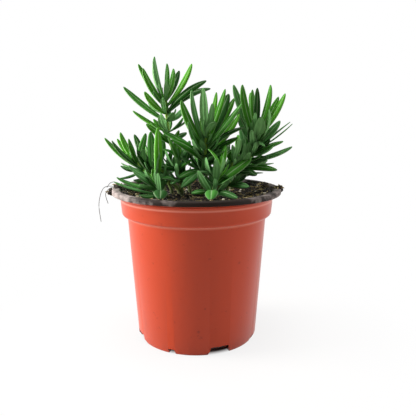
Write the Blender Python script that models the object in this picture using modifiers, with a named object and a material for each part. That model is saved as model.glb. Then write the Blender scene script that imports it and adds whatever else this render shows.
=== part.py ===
"""Potted lavender: a young plant in a thermoformed nursery pot, modelled in metres with +Z up.

The origin is at the middle of the pot's foot ring, on the surface it stands on, and -Y is the front.
The pot is a turned thin wall, the soil a turned plug with a planting hole for each stem, each stem a
tapered tube, and each whorl of leaves a clasping collar joined to the leaves that leave it.
Lengths in the tables are millimetres and become metres through MM.
"""

import math
from dataclasses import dataclass

import bmesh
import bpy
from mathutils import Matrix, Quaternion, Vector

MM = 0.001

# Pot: a round nursery pot, taken as the 12 cm size.
POT_HEIGHT = 109.0
RIM_RADIUS = 60.0
RIM_INNER_RADIUS = 55.0
RIM_DEPTH = 3.4
RIM_ROUND = 1.3
COLLAR_TOP_RADIUS = 54.3
COLLAR_BOTTOM_RADIUS = 53.4
LEDGE_HEIGHT = 90.5
LEDGE_ROUND = 2.6
BODY_TOP_RADIUS = 49.5
BODY_BOTTOM_RADIUS = 43.4
FOOT_RADIUS = 42.0
FOOT_ROUND = 3.0
FOOT_WIDTH = 3.4
FOOT_EDGE_ROUND = 0.8
FOOT_DRAFT = 0.6
LEDGE_STEP = 0.8
RIM_EDGE_ROUND = 0.7
RIM_NECK = 0.9
LIP_ROUND = 1.2
FLOOR_FILLET = 2.0
COLLAR_FILLET = 1.0
WALL = 1.1
FLOOR_UNDERSIDE = 1.2
POT_STEPS = 48

# Drain notches around the foot, alternately wide and narrow, 45 degrees apart.
NOTCH_COUNT = 8
FIRST_NOTCH_ANGLE = 22.0
WIDE_NOTCH = (17.0, 13.0, 6.0)
NARROW_NOTCH = (5.6, 4.8, 3.8)
NOTCH_REACH_IN = 36.0
NOTCH_REACH_OUT = 48.0
NOTCH_BELOW = 2.0

# Soil.
SOIL_LEVEL = 103.6
SOIL_EDGE_RISE = 3.9
SOIL_FLAT_RADIUS = 42.0
SOIL_EDGE_BEVEL = 0.6
SOIL_SHOULDER = 2.5
SOIL_FOOT_BEVEL = 3.0
SOIL_STEPS = 36
CLEARANCE = 0.35
FACET_ALLOWANCE = 0.1

# Stems and leaves.
ROOT_DEPTH = 8.0
HOLE_SIDES = 12
STEM_BOTTOM_RADIUS = 1.3
STEM_TOP_RADIUS = 0.85
STEM_SPAN_CUTS = 2
COLLAR_WALL = 0.9
COLLAR_LENGTH = 1.7
COLLAR_SIDES = 6
BUD_RADIUS = 1.3
BUD_LENGTH = 2.6
LEAF_SEGMENTS = 4
LEAF_HALF_THICKNESS = 0.5
LEAF_BASE_SHARE = 0.42
LEAF_WIDEST_AT = 0.55
LEAF_TIP_REACH = 0.47
LEAF_TIP_THINNING = 0.45
LEAF_STATION_POWER = 1.5
BUD_TAPER = 0.6
BUD_LEAF_OFFSET = 0.3


@dataclass(frozen=True)
class Leaf:
    """One leaf: its tip, greatest width, arch as a share of its length, and roll in degrees."""

    tip: tuple
    width: float
    arch: float
    roll: float


@dataclass(frozen=True)
class Whorl:
    """The leaves that leave a stem at one node."""

    at: tuple
    leaves: list


@dataclass(frozen=True)
class Shoot:
    """A stem from its root collar up through its nodes, listed from the top whorl down."""

    root: tuple
    whorls: list


SHOOTS = {
    "tall": Shoot((-5, 8, 104), [
        Whorl((-22.5, 9, 170), [
            Leaf((-30, 15, 201), 5.5, -0.05, 0),
            Leaf((-32, 24, 195), 3.5, -0.05, 0),
            Leaf((-21, 12, 196), 3.5, -0.04, 0),
            Leaf((-17, 20, 193), 4.5, -0.05, 0),
            Leaf((-13, 26, 192), 4.5, -0.05, 20),
        ]),
        Whorl((-22, 9, 166.5), [
            Leaf((-37, 3, 192), 5, -0.06, -70),
            Leaf((-42, 17, 196), 4, -0.05, -50),
            Leaf((-3, 2, 195), 4.5, -0.05, 65),
        ]),
        Whorl((-22, 8.5, 161.5), [
            Leaf((-36, 0, 176), 4.5, -0.05, -75),
            Leaf((7, 10, 184), 5, 0.12, 50),
            Leaf((10, 22, 179), 6, 0.15, 30),
        ]),
        Whorl((-21, 8, 156), [
            Leaf((-53, 16, 180), 4.5, -0.03, -40),
            Leaf((-16, -8, 162), 5, -0.05, 0),
            Leaf((-10, 20, 165), 4.5, -0.08, 20),
        ]),
        Whorl((-20.5, 8, 148.5), [
            Leaf((-24, -9, 160), 5.5, -0.05, -20),
            Leaf((-47, 18, 163), 3.5, -0.03, -25),
            Leaf((-6, 4, 157), 3, -0.03, 0),
            Leaf((-32, 20, 157), 4, -0.04, -20),
        ]),
        Whorl((-19.5, 8, 141), [
            Leaf((-35, -3, 154), 5.5, 0.04, -55),
            Leaf((-8, 22, 147), 5, 0.05, 20),
        ]),
    ]),
    "left": Shoot((-12, 2, 104), [
        Whorl((-42.5, 0, 126.5), [
            Leaf((-54, 3, 148), 4.5, -0.06, -30),
            Leaf((-47, -6, 144), 6.5, 0.03, -60),
            Leaf((-37, 12, 147), 4, -0.03, 30),
        ]),
        Whorl((-39, 0, 122), [
            Leaf((-66, 6, 144), 4, -0.06, -40),
            Leaf((-58, -10, 143), 4.5, -0.05, -40),
            Leaf((-58, 12, 143), 4, -0.05, -30),
        ]),
        Whorl((-32.5, 1, 118.5), [
            Leaf((-46, 15, 146), 4.5, -0.03, -40),
            Leaf((-41, -8, 136), 6, 0.03, -60),
            Leaf((-34, 16, 148), 5.5, -0.04, 0),
        ]),
    ]),
    "left_front": Shoot((-20, -14, 104), [
        Whorl((-27.5, -14, 114.5), [
            Leaf((-26, -12, 152), 5, 0.12, 40),
            Leaf((-24, -22, 136), 5, 0.05, 60),
            Leaf((-47, -10, 126), 4, -0.04, -40),
        ]),
        Whorl((-26.5, -15, 111), [
            Leaf((-42, -22, 123), 4.5, 0.03, -40),
            Leaf((-14, -22, 117), 5, 0.35, 0),
            Leaf((-55, -13, 118), 4, -0.05, -20),
        ]),
        Whorl((-25, -16, 107.5), [
            Leaf((-56, -20, 116), 3.5, -0.03, -20),
            Leaf((-22, -46, 108.6), 8, 0.13, 0),
        ]),
    ]),
    "middle": Shoot((-10, -6, 104), [
        Whorl((-13, -4, 129), [
            Leaf((-19, -14, 145), 8.5, 0.08, -60),
            Leaf((-23, -10, 137), 5, 0.2, -30),
            Leaf((-5, 6, 142), 5, -0.05, 20),
            Leaf((-15, 10, 144), 5, -0.05, 0),
        ]),
        Whorl((-12.5, -5, 122), [
            Leaf((-25, -14, 126), 5, 0.1, -40),
            Leaf((-3, -12, 130), 5, 0.1, 30),
        ]),
        Whorl((-11.5, -6, 114), [
            Leaf((-28, -4, 119), 5, 0.1, -30),
            Leaf((-16, -26, 115), 5, 0.12, 0),
        ]),
    ]),
    "inner_right": Shoot((21, -5, 104), [
        Whorl((25, -4, 128), [
            Leaf((29, -16, 145), 4.5, -0.05, 20),
            Leaf((19, 5, 146), 4.5, -0.05, 0),
        ]),
        Whorl((24, -4.5, 120), [
            Leaf((38, -14, 122), 5, 0.08, 40),
            Leaf((24, 12, 130), 5, 0.05, 0),
        ]),
        Whorl((22.5, -5, 112), [
            Leaf((36, -18, 112), 5, 0.1, 40),
            Leaf((14, 8, 116), 5, 0.08, 0),
        ]),
    ]),
    "inner_left": Shoot((-18, 5, 104), [
        Whorl((-27, 6.5, 126), [
            Leaf((-28, -3, 143), 4.5, -0.05, -20),
            Leaf((-25, 17, 142), 4.5, -0.05, 0),
        ]),
        Whorl((-24, 6.5, 117), [
            Leaf((-28, 18, 130), 4.5, 0.04, 0),
            Leaf((-14, 12, 128), 4.5, 0.06, 0),
        ]),
    ]),
    "centre": Shoot((4, -4, 104), [
        Whorl((6.5, -6, 145), [
            Leaf((5, -15, 178), 5, -0.03, 0),
            Leaf((14, 6, 176), 3.5, -0.04, 0),
            Leaf((11, -11, 168), 4.5, -0.03, 0),
            Leaf((13, -18, 156), 5, 0.15, 0),
        ]),
        Whorl((6.5, -6, 141), [
            Leaf((-3, -9, 177), 4.5, -0.05, -70),
            Leaf((20, 0, 178), 4.5, -0.02, 30),
            Leaf((23, 12, 175), 7, -0.03, 40),
        ]),
        Whorl((6.5, -6, 137), [
            Leaf((-10, -10, 170), 6, -0.03, -60),
            Leaf((27, 11, 172), 5, -0.04, 40),
            Leaf((31, -12, 168), 5, 0.02, 50),
        ]),
        Whorl((6, -6, 133), [
            Leaf((-5, -16, 156), 6, -0.04, -50),
            Leaf((30, -3, 161), 5, -0.06, 40),
            Leaf((33, -8, 152), 5, 0.15, 30),
        ]),
        Whorl((5.5, -5, 129), [
            Leaf((-24, 0, 149), 5.5, 0.1, -40),
            Leaf((-16, -14, 144), 6, 0.12, -60),
            Leaf((29, -8, 145), 5, 0.1, 40),
        ]),
        Whorl((4.5, -4, 122.5), [
            Leaf((-12, -16, 118), 5, 0.12, -40),
            Leaf((24, -14, 137), 5, 0.1, 40),
            Leaf((-10, -20, 112), 5, 0.1, -40),
        ]),
    ]),
    "right": Shoot((15, 8, 104), [
        Whorl((43, 5, 147.5), [
            Leaf((40, 13, 178), 4, -0.03, 0),
            Leaf((43, 8, 179), 4, -0.03, 0),
            Leaf((52, 6, 181), 6, -0.04, 30),
            Leaf((39, 18, 176), 4.5, 0, 0),
        ]),
        Whorl((42.5, 5, 144), [
            Leaf((32, 3, 181), 5, -0.05, -70),
            Leaf((44, -10, 159), 7, -0.06, 0),
            Leaf((62, 2, 175), 5, -0.05, 60),
            Leaf((26, 6, 181), 5, -0.04, -65),
        ]),
        Whorl((41.5, 5, 139.5), [
            Leaf((59, 14, 173), 5, -0.03, 40),
            Leaf((50, -4, 164), 6, -0.12, 30),
            Leaf((29, 7, 163), 5, -0.03, -65),
        ]),
        Whorl((40.5, 4, 135), [
            Leaf((60, 10, 156), 5.5, 0.02, 50),
            Leaf((68, 4, 154), 3, -0.03, 0),
            Leaf((47, -10, 139), 4, 0.3, 0),
        ]),
        Whorl((39, 3, 132), [
            Leaf((68, 14, 155), 3, 0.03, 0),
            Leaf((61, -2, 142), 4.5, 0.08, 40),
            Leaf((32, 14, 152), 5, -0.04, 0),
        ]),
        Whorl((36, 2, 128.5), [
            Leaf((68, 2, 138), 4.5, -0.05, 30),
            Leaf((50, -8, 131), 5, 0.03, 50),
            Leaf((29, 4, 143), 5, -0.04, -30),
        ]),
        Whorl((31.5, 1, 123.5), [
            Leaf((57, -4, 122), 5, 0.12, 50),
            Leaf((42, -10, 119), 5, 0.06, 40),
        ]),
    ]),
    "front": Shoot((11, -19, 104), [
        Whorl((14, -21, 118), [
            Leaf((18, -26, 133), 4.5, -0.05, 20),
            Leaf((20, -14, 140), 4.5, -0.03, 0),
            Leaf((8, -18, 138), 4, 0.25, 0),
        ]),
        Whorl((13, -21, 114.5), [
            Leaf((7, -27, 133), 4.5, -0.03, -20),
            Leaf((0, -28, 123), 4.5, 0.3, -20),
            Leaf((38, -10, 131), 6, 0.04, 40),
        ]),
        Whorl((11.5, -21, 109), [
            Leaf((27, -42, 108.4), 5, 0.1, 30),
            Leaf((10, -48, 108.6), 7.5, 0.14, 0),
            Leaf((-3, -26, 109), 4, 0.1, -30),
        ]),
    ]),
    "back": Shoot((6, 22, 104), [
        Whorl((8, 30, 130), [
            Leaf((14, 50, 148), 5, -0.05, 0),
            Leaf((-4, 44, 148), 5, -0.05, 0),
            Leaf((22, 36, 148), 4.5, -0.05, 0),
            Leaf((4, 33, 152), 4, -0.03, 0),
        ]),
        Whorl((7.5, 28, 123), [
            Leaf((-12, 44, 134), 5, 0.05, 0),
            Leaf((22, 50, 134), 5, 0.05, 0),
        ]),
        Whorl((7, 26, 115), [
            Leaf((-8, 54, 120), 5, 0.08, 0),
            Leaf((16, 56, 117), 5, 0.08, 0),
        ]),
    ]),
    "back_left": Shoot((-24, 18, 104), [
        Whorl((-34, 26, 124), [
            Leaf((-44, 42, 139), 5, -0.05, 0),
            Leaf((-30, 46, 144), 5, -0.05, 0),
            Leaf((-40, 24, 143), 4, -0.03, 0),
        ]),
        Whorl((-32, 24, 117), [
            Leaf((-54, 34, 129), 5, 0.04, 0),
            Leaf((-30, 54, 126), 5, 0.05, 0),
        ]),
        Whorl((-29, 22, 110.5), [
            Leaf((-48, 42, 114), 5, 0.08, 0),
            Leaf((-20, 52, 114), 5, 0.08, 0),
        ]),
    ]),
    "back_right": Shoot((26, 24, 104), [
        Whorl((34, 30, 126), [
            Leaf((48, 42, 144), 5, -0.05, 0),
            Leaf((32, 50, 144), 5, -0.05, 0),
            Leaf((40, 26, 148), 4, -0.03, 0),
        ]),
        Whorl((32.5, 28, 118.5), [
            Leaf((54, 36, 127), 5, 0.04, 0),
            Leaf((42, 54, 124), 5, 0.05, 0),
        ]),
        Whorl((30, 26, 111.5), [
            Leaf((52, 44, 114), 5, 0.08, 0),
            Leaf((30, 57, 113), 5, 0.08, 0),
        ]),
    ]),
}


def clear_scene():
    """Remove every object, so that the script starts from an empty scene."""
    for obj in list(bpy.data.objects):
        bpy.data.objects.remove(obj, do_unlink=True)


def make_collection(name):
    """Add a collection to the scene."""
    collection = bpy.data.collections.new(name)
    bpy.context.scene.collection.children.link(collection)
    return collection


def make_material(name, color, roughness):
    """Make a plain Principled material from a linear colour."""
    material = bpy.data.materials.new(name)
    material.use_nodes = True
    shader = material.node_tree.nodes["Principled BSDF"]
    shader.inputs["Base Color"].default_value = (*color, 1.0)
    shader.inputs["Roughness"].default_value = roughness
    shader.inputs["Metallic"].default_value = 0.0
    return material


def add_object(name, data, collection, material=None):
    """Link an object with its own material to a collection."""
    obj = bpy.data.objects.new(name, data)
    collection.objects.link(obj)
    if material is not None:
        obj.data.materials.append(material)
    return obj


def as_cutter(obj):
    """Mark an object as a cutter, which is no part of the model."""
    obj.hide_render = True
    obj.display_type = "WIRE"


def arc(centre, radius, start_degrees, end_degrees, count):
    """Points of an arc in the (radius, height) plane."""
    points = []
    for index in range(count + 1):
        angle = math.radians(start_degrees + (end_degrees - start_degrees) * index / count)
        points.append((centre[0] + radius * math.cos(angle), centre[1] + radius * math.sin(angle)))
    return points


def body_radius(height):
    """Outer radius of the tapered body at a height."""
    share = (height - FOOT_ROUND) / (LEDGE_HEIGHT - FOOT_ROUND)
    return BODY_BOTTOM_RADIUS + share * (BODY_TOP_RADIUS - BODY_BOTTOM_RADIUS)


def inner_wall():
    """The pot's inside, from the floor up to the rim."""
    floor_top = FLOOR_UNDERSIDE + WALL
    corner = (body_radius(floor_top) - WALL - FLOOR_FILLET, floor_top + FLOOR_FILLET)
    rise = (COLLAR_BOTTOM_RADIUS - WALL - COLLAR_FILLET, LEDGE_HEIGHT + WALL + COLLAR_FILLET)
    lip = (RIM_INNER_RADIUS + LIP_ROUND / 2.0, POT_HEIGHT - LIP_ROUND)
    return (
        [(0.0, floor_top)]
        + arc(corner, FLOOR_FILLET, -90.0, 0.0, 3)
        + [(BODY_TOP_RADIUS - WALL, LEDGE_HEIGHT)]
        + arc(rise, COLLAR_FILLET, -80.0, 0.0, 2)
        + [(COLLAR_TOP_RADIUS - WALL, POT_HEIGHT - RIM_DEPTH)]
        + arc(lip, LIP_ROUND, 180.0, 90.0, 3)
    )


def outer_wall():
    """The pot's outside, from the rim down to the middle of the underside."""
    rim_under = POT_HEIGHT - RIM_DEPTH
    rim_top = arc((RIM_RADIUS - RIM_ROUND, POT_HEIGHT - RIM_ROUND), RIM_ROUND, 90.0, 0.0, 3)
    rim_edge = (RIM_RADIUS - RIM_EDGE_ROUND, rim_under + RIM_EDGE_ROUND)
    ledge = (COLLAR_BOTTOM_RADIUS - LEDGE_ROUND, LEDGE_HEIGHT + LEDGE_ROUND)
    foot = (FOOT_RADIUS - FOOT_EDGE_ROUND, FOOT_EDGE_ROUND)
    recess_radius = FOOT_RADIUS - FOOT_WIDTH
    return (
        rim_top
        + arc(rim_edge, RIM_EDGE_ROUND, 0.0, -90.0, 2)
        + [(COLLAR_TOP_RADIUS + RIM_NECK, rim_under), (COLLAR_TOP_RADIUS, rim_under - RIM_NECK)]
        + arc(ledge, LEDGE_ROUND, 0.0, -90.0, 4)
        + [(BODY_TOP_RADIUS, LEDGE_HEIGHT - LEDGE_STEP), (BODY_BOTTOM_RADIUS, FOOT_ROUND)]
        + arc(foot, FOOT_EDGE_ROUND, 0.0, -90.0, 2)
        + [(recess_radius, 0.0), (recess_radius - FOOT_DRAFT, FLOOR_UNDERSIDE)]
        + [(0.0, FLOOR_UNDERSIDE)]
    )


def make_turned(name, profile, steps, collection, material):
    """Turn a (radius, height) profile around Z with a Screw modifier."""
    mesh = bpy.data.meshes.new(name)
    vertices = [(radius * MM, 0.0, height * MM) for radius, height in profile]
    edges = [(index, index + 1) for index in range(len(vertices) - 1)]
    mesh.from_pydata(vertices, edges, [])
    obj = add_object(name, mesh, collection, material)
    screw = obj.modifiers.new("turn", "SCREW")
    screw.steps = steps
    screw.render_steps = steps
    screw.use_merge_vertices = True
    screw.merge_threshold = 0.00001
    screw.use_smooth_shade = True
    return obj


def cut(obj, cutter, name):
    """Cut one object out of another."""
    boolean = obj.modifiers.new(name, "BOOLEAN")
    boolean.operation = "DIFFERENCE"
    boolean.solver = "EXACT"
    boolean.object = cutter


def make_notch_cutter(index, size, cutters):
    """A wedge that is wider at the foot than at its top, laid across the foot ring."""
    bottom_width, top_width, height = size
    bm = bmesh.new()
    bmesh.ops.create_cube(bm, size=1.0)
    for vertex in bm.verts:
        at_top = vertex.co.z > 0.0
        width = top_width if at_top else bottom_width
        vertex.co.x = (NOTCH_REACH_OUT if vertex.co.x > 0.0 else NOTCH_REACH_IN) * MM
        vertex.co.y = math.copysign(width / 2.0, vertex.co.y) * MM
        vertex.co.z = (height if at_top else -NOTCH_BELOW) * MM
    mesh = bpy.data.meshes.new(f"notch_{index}")
    bm.to_mesh(mesh)
    bm.free()
    cutter = add_object(f"cutter_notch_{index}", mesh, cutters)
    cutter.rotation_euler = (0.0, 0.0, math.radians(-90.0 + FIRST_NOTCH_ANGLE + 360.0 / NOTCH_COUNT * index))
    as_cutter(cutter)
    return cutter


def make_pot(collection, cutters):
    """The thin-walled pot with its rolled rim, its ledge and its drain notches."""
    material = make_material("terracotta_polypropylene", (0.46, 0.08, 0.045), 0.38)
    pot = make_turned("pot", inner_wall() + outer_wall(), POT_STEPS, collection, material)
    for index in range(NOTCH_COUNT):
        size = WIDE_NOTCH if index % 2 == 0 else NARROW_NOTCH
        cut(pot, make_notch_cutter(index, size, cutters), f"notch_{index}")
    return pot


def soil_profile():
    """The soil's section: an outer side that follows the pot's inside at a small distance."""
    floor_top = FLOOR_UNDERSIDE + WALL
    bottom = floor_top + CLEARANCE
    over_ledge = LEDGE_HEIGHT + WALL + COLLAR_FILLET + CLEARANCE
    edge_level = SOIL_LEVEL + SOIL_EDGE_RISE
    gap = WALL + CLEARANCE + FACET_ALLOWANCE
    top_edge = COLLAR_TOP_RADIUS - gap
    collar_side = COLLAR_BOTTOM_RADIUS - gap
    return [
        (0.0, SOIL_LEVEL),
        (SOIL_FLAT_RADIUS, SOIL_LEVEL),
        (top_edge - SOIL_SHOULDER, edge_level - SOIL_EDGE_BEVEL),
        (top_edge - SOIL_EDGE_BEVEL, edge_level),
        (top_edge, edge_level - SOIL_SHOULDER),
        (collar_side, over_ledge),
        (collar_side - COLLAR_FILLET / 2.0, over_ledge - COLLAR_FILLET),
        (BODY_TOP_RADIUS - gap, LEDGE_HEIGHT + WALL / 2.0),
        (body_radius(bottom + SOIL_FOOT_BEVEL) - gap, bottom + SOIL_FOOT_BEVEL),
        (body_radius(bottom) - gap - SOIL_FOOT_BEVEL, bottom),
        (0.0, bottom),
    ]


def make_soil(collection, cutters):
    """The plug of potting soil, with a planting hole around each stem's root."""
    material = make_material("peat_soil", (0.03, 0.018, 0.01), 0.95)
    soil = make_turned("soil", soil_profile(), SOIL_STEPS, collection, material)
    for name, shoot in SHOOTS.items():
        x, y, height = shoot.root
        depth = ROOT_DEPTH + CLEARANCE
        bm = bmesh.new()
        bore = (STEM_BOTTOM_RADIUS + CLEARANCE) * MM
        bmesh.ops.create_cone(
            bm, cap_ends=True, segments=HOLE_SIDES,
            radius1=bore, radius2=bore, depth=2.0 * depth * MM,
        )
        mesh = bpy.data.meshes.new(f"hole_{name}")
        bm.to_mesh(mesh)
        bm.free()
        cutter = add_object(f"cutter_hole_{name}", mesh, cutters)
        cutter.location = Vector((x, y, height)) * MM
        as_cutter(cutter)
        cut(soil, cutter, f"hole_{name}")
    return soil


def hermite(start, end, start_slope, end_slope, share):
    """A point of a cubic curve between two points with given slopes."""
    square = share * share
    cube = square * share
    return (
        start * (2.0 * cube - 3.0 * square + 1.0)
        + start_slope * (cube - 2.0 * square + share)
        + end * (3.0 * square - 2.0 * cube)
        + end_slope * (cube - square)
    )


def node_slopes(shoot):
    """The stem's slope at its root and at each node, from the bottom up."""
    points = [Vector(shoot.root)] + [Vector(whorl.at) for whorl in reversed(shoot.whorls)]
    slopes = [Vector((0.0, 0.0, (points[1] - points[0]).length))]
    for index in range(1, len(points) - 1):
        slopes.append((points[index + 1] - points[index - 1]) * 0.5)
    slopes.append(points[-1] - points[-2])
    return points, slopes


def stem_path(shoot):
    """Points along the middle of a stem, from its root end to just under its bud."""
    points, slopes = node_slopes(shoot)
    path = [points[0] - Vector((0.0, 0.0, ROOT_DEPTH))]
    spans = len(points) - 1
    for index in range(spans):
        reach = 1.0
        if index == spans - 1:
            under_bud = BUD_LENGTH / 2.0 + CLEARANCE
            reach = 1.0 - under_bud / (points[-1] - points[-2]).length
        for step in range(STEM_SPAN_CUTS):
            share = reach * step / STEM_SPAN_CUTS
            path.append(hermite(points[index], points[index + 1], slopes[index], slopes[index + 1], share))
    path.append(hermite(points[-2], points[-1], slopes[-2], slopes[-1], reach))
    return path


def curve_to_mesh(tube, name, collection, material):
    """Replace a curve object with a welded mesh of the same tube."""
    depsgraph = bpy.context.evaluated_depsgraph_get()
    mesh = bpy.data.meshes.new_from_object(tube.evaluated_get(depsgraph))
    mesh.name = name
    bm = bmesh.new()
    bm.from_mesh(mesh)
    bmesh.ops.remove_doubles(bm, verts=bm.verts, dist=0.00001)
    bmesh.ops.recalc_face_normals(bm, faces=bm.faces)
    bm.to_mesh(mesh)
    bm.free()
    obj = add_object(name, mesh, collection, material)
    obj.matrix_world = tube.matrix_world
    bpy.data.objects.remove(tube, do_unlink=True)
    return obj


def make_stem(name, shoot, collection, material):
    """A tapered tube through the shoot's nodes."""
    path = stem_path(shoot)
    curve = bpy.data.curves.new(name, "CURVE")
    curve.dimensions = "3D"
    curve.bevel_depth = 1.0 * MM
    curve.bevel_resolution = 1
    curve.use_fill_caps = True
    spline = curve.splines.new("POLY")
    spline.points.add(len(path) - 1)
    for index, point in enumerate(path):
        share = index / (len(path) - 1)
        spline.points[index].co = (*(point * MM), 1.0)
        spline.points[index].radius = STEM_BOTTOM_RADIUS + share * (STEM_TOP_RADIUS - STEM_BOTTOM_RADIUS)
    tube = add_object(f"{name}_path", curve, collection)
    return curve_to_mesh(tube, name, collection, material)


def leaf_half_width(share):
    """Half the width of a blunt lance-shaped blade, as a share of its greatest half width."""
    if share < LEAF_WIDEST_AT:
        return LEAF_BASE_SHARE + (1.0 - LEAF_BASE_SHARE) * math.sin(math.pi / 2.0 * share / LEAF_WIDEST_AT)
    return math.sqrt(1.0 - ((share - LEAF_WIDEST_AT) / LEAF_TIP_REACH) ** 2)


def make_leaf(name, leaf, base, collection):
    """A blade with a lozenge section: a four-sided prism cut into stations and bent to shape."""
    chord = Vector(leaf.tip) - base
    length = chord.length
    bm = bmesh.new()
    bmesh.ops.create_cone(bm, cap_ends=True, segments=4, radius1=1.0, radius2=1.0, depth=1.0)
    sides = [edge for edge in bm.edges if abs(edge.verts[0].co.z - edge.verts[1].co.z) > 0.5]
    bmesh.ops.subdivide_edges(bm, edges=sides, cuts=LEAF_SEGMENTS - 1, use_grid_fill=True)
    for vertex in bm.verts:
        across = vertex.co.x
        upward = vertex.co.y
        share = 1.0 - (0.5 - vertex.co.z) ** LEAF_STATION_POWER
        slope = 4.0 * leaf.arch * (1.0 - 2.0 * share)
        normal = Vector((-slope, 0.0, 1.0)).normalized()
        centre = Vector((length * share, 0.0, 4.0 * leaf.arch * length * share * (1.0 - share)))
        half_width = leaf.width / 2.0 * leaf_half_width(share)
        half_thickness = LEAF_HALF_THICKNESS * (1.0 - LEAF_TIP_THINNING * share)
        point = centre + Vector((0.0, across * half_width, 0.0)) + normal * (upward * half_thickness)
        vertex.co = point * MM
    bmesh.ops.recalc_face_normals(bm, faces=bm.faces)
    mesh = bpy.data.meshes.new(name)
    bm.to_mesh(mesh)
    bm.free()
    obj = add_object(name, mesh, collection)
    turn = chord.to_track_quat("X", "Z") @ Quaternion((1.0, 0.0, 0.0), math.radians(leaf.roll))
    obj.matrix_world = Matrix.LocRotScale(base * MM, turn, None)
    as_cutter(obj)
    return obj


def make_collar(name, whorl, direction, stem_radius, is_bud, collection, material):
    """The clasping ring around the stem, or the bud that closes its top."""
    bm = bmesh.new()
    if is_bud:
        bmesh.ops.create_cone(
            bm, cap_ends=True, segments=COLLAR_SIDES,
            radius1=BUD_RADIUS * MM, radius2=BUD_TAPER * BUD_RADIUS * MM, depth=BUD_LENGTH * MM,
        )
    else:
        bore = (stem_radius + CLEARANCE) / math.cos(math.pi / COLLAR_SIDES)
        bmesh.ops.create_cone(
            bm, cap_ends=False, segments=COLLAR_SIDES,
            radius1=bore * MM, radius2=bore * MM, depth=COLLAR_LENGTH * MM,
        )
    mesh = bpy.data.meshes.new(name)
    bm.to_mesh(mesh)
    bm.free()
    obj = add_object(name, mesh, collection, material)
    obj.location = Vector(whorl.at) * MM
    obj.rotation_euler = direction.to_track_quat("Z", "Y").to_euler()
    if not is_bud:
        wall = obj.modifiers.new("wall", "SOLIDIFY")
        wall.thickness = COLLAR_WALL * MM
        wall.offset = 1.0
    return obj


def make_whorl(name, whorl, direction, stem_radius, is_bud, collection, cutters, material):
    """The leaves of one node, joined to their collar as one body."""
    collar = make_collar(name, whorl, direction, stem_radius, is_bud, collection, material)
    blades = bpy.data.collections.new(f"{name}_blades")
    cutters.children.link(blades)
    centre = Vector(whorl.at)
    along = direction.normalized()
    for index, leaf in enumerate(whorl.leaves):
        heading = Vector(leaf.tip) - centre
        sideways = (heading - along * heading.dot(along)).normalized()
        offset = BUD_LEAF_OFFSET if is_bud else stem_radius + CLEARANCE + 0.5 * COLLAR_WALL
        make_leaf(f"{name}_blade_{index + 1}", leaf, centre + sideways * offset, blades)
    union = collar.modifiers.new("leaves", "BOOLEAN")
    union.operation = "UNION"
    union.solver = "EXACT"
    union.operand_type = "COLLECTION"
    union.collection = blades
    return collar


def make_shoot(name, shoot, collection, cutters, stem_material, leaf_material):
    """A stem with its whorls of leaves."""
    make_stem(f"{name}_stem", shoot, collection, stem_material)
    points, slopes = node_slopes(shoot)
    for index, whorl in enumerate(shoot.whorls):
        from_bottom = len(points) - 1 - index
        share = from_bottom / (len(points) - 1)
        stem_radius = STEM_BOTTOM_RADIUS + share * (STEM_TOP_RADIUS - STEM_BOTTOM_RADIUS)
        make_whorl(
            f"{name}_whorl_{index + 1}", whorl, slopes[from_bottom], stem_radius + FACET_ALLOWANCE,
            index == 0, collection, cutters, leaf_material,
        )


def main():
    """Build the pot, the soil and the shoots."""
    clear_scene()
    parts = make_collection("potted_lavender")
    cutters = make_collection("cutters")
    make_pot(parts, cutters)
    make_soil(parts, cutters)
    stem_material = make_material("green_stem", (0.14, 0.2, 0.04), 0.6)
    leaf_material = make_material("felted_leaf", (0.05, 0.14, 0.035), 0.65)
    for name, shoot in SHOOTS.items():
        make_shoot(name, shoot, parts, cutters, stem_material, leaf_material)


main()
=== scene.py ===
"""Potted lavender: the finish of the pot, the soil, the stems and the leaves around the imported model.

The frame's unit is the metre, +Z is up and -Y is the front. Sizes are in millimetres and become metres
through MM, apart from those of the studio. Each CAD node is replaced by a piece of the same shape and
place with finer detail, and loose soil, root hairs and young leaves are added to them.
"""

import logging
import math
import random
from dataclasses import dataclass
from enum import Enum

import bmesh
import bpy
from mathutils import Matrix, Quaternion, Vector, noise

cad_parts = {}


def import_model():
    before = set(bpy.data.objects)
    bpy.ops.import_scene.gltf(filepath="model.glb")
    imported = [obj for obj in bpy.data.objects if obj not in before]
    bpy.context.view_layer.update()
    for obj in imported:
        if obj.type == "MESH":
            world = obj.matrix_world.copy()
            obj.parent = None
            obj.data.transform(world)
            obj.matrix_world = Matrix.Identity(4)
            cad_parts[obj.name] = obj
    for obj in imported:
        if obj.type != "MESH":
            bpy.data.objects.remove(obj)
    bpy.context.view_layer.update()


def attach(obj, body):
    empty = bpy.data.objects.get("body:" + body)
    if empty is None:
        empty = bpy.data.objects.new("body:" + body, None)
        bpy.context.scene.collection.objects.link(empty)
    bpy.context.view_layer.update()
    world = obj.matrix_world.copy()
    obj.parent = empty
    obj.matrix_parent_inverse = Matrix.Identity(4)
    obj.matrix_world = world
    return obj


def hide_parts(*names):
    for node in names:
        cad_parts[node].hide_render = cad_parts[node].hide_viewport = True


LOG = logging.getLogger("potted_lavender")
MM = 0.001
FULL_TURN = 2.0 * math.pi
SAME_POINT = 0.00001
WHITE = (1.0, 1.0, 1.0, 1.0)
Point = tuple[float, float]
Place = tuple[float, float, float]
Inputs = dict[int | str, object]

# Settings of the Mix and Math nodes.
MIX = {"data_type": "RGBA"}
ADD = {"operation": "ADD"}
SUBTRACT = {"operation": "SUBTRACT"}
MULTIPLY = {"operation": "MULTIPLY"}
MULTIPLY_ADD = {"operation": "MULTIPLY_ADD"}
ABSOLUTE = {"operation": "ABSOLUTE"}
MAXIMUM = {"operation": "MAXIMUM"}
MINIMUM = {"operation": "MINIMUM"}
CLAMP = {"use_clamp": True}


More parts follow.
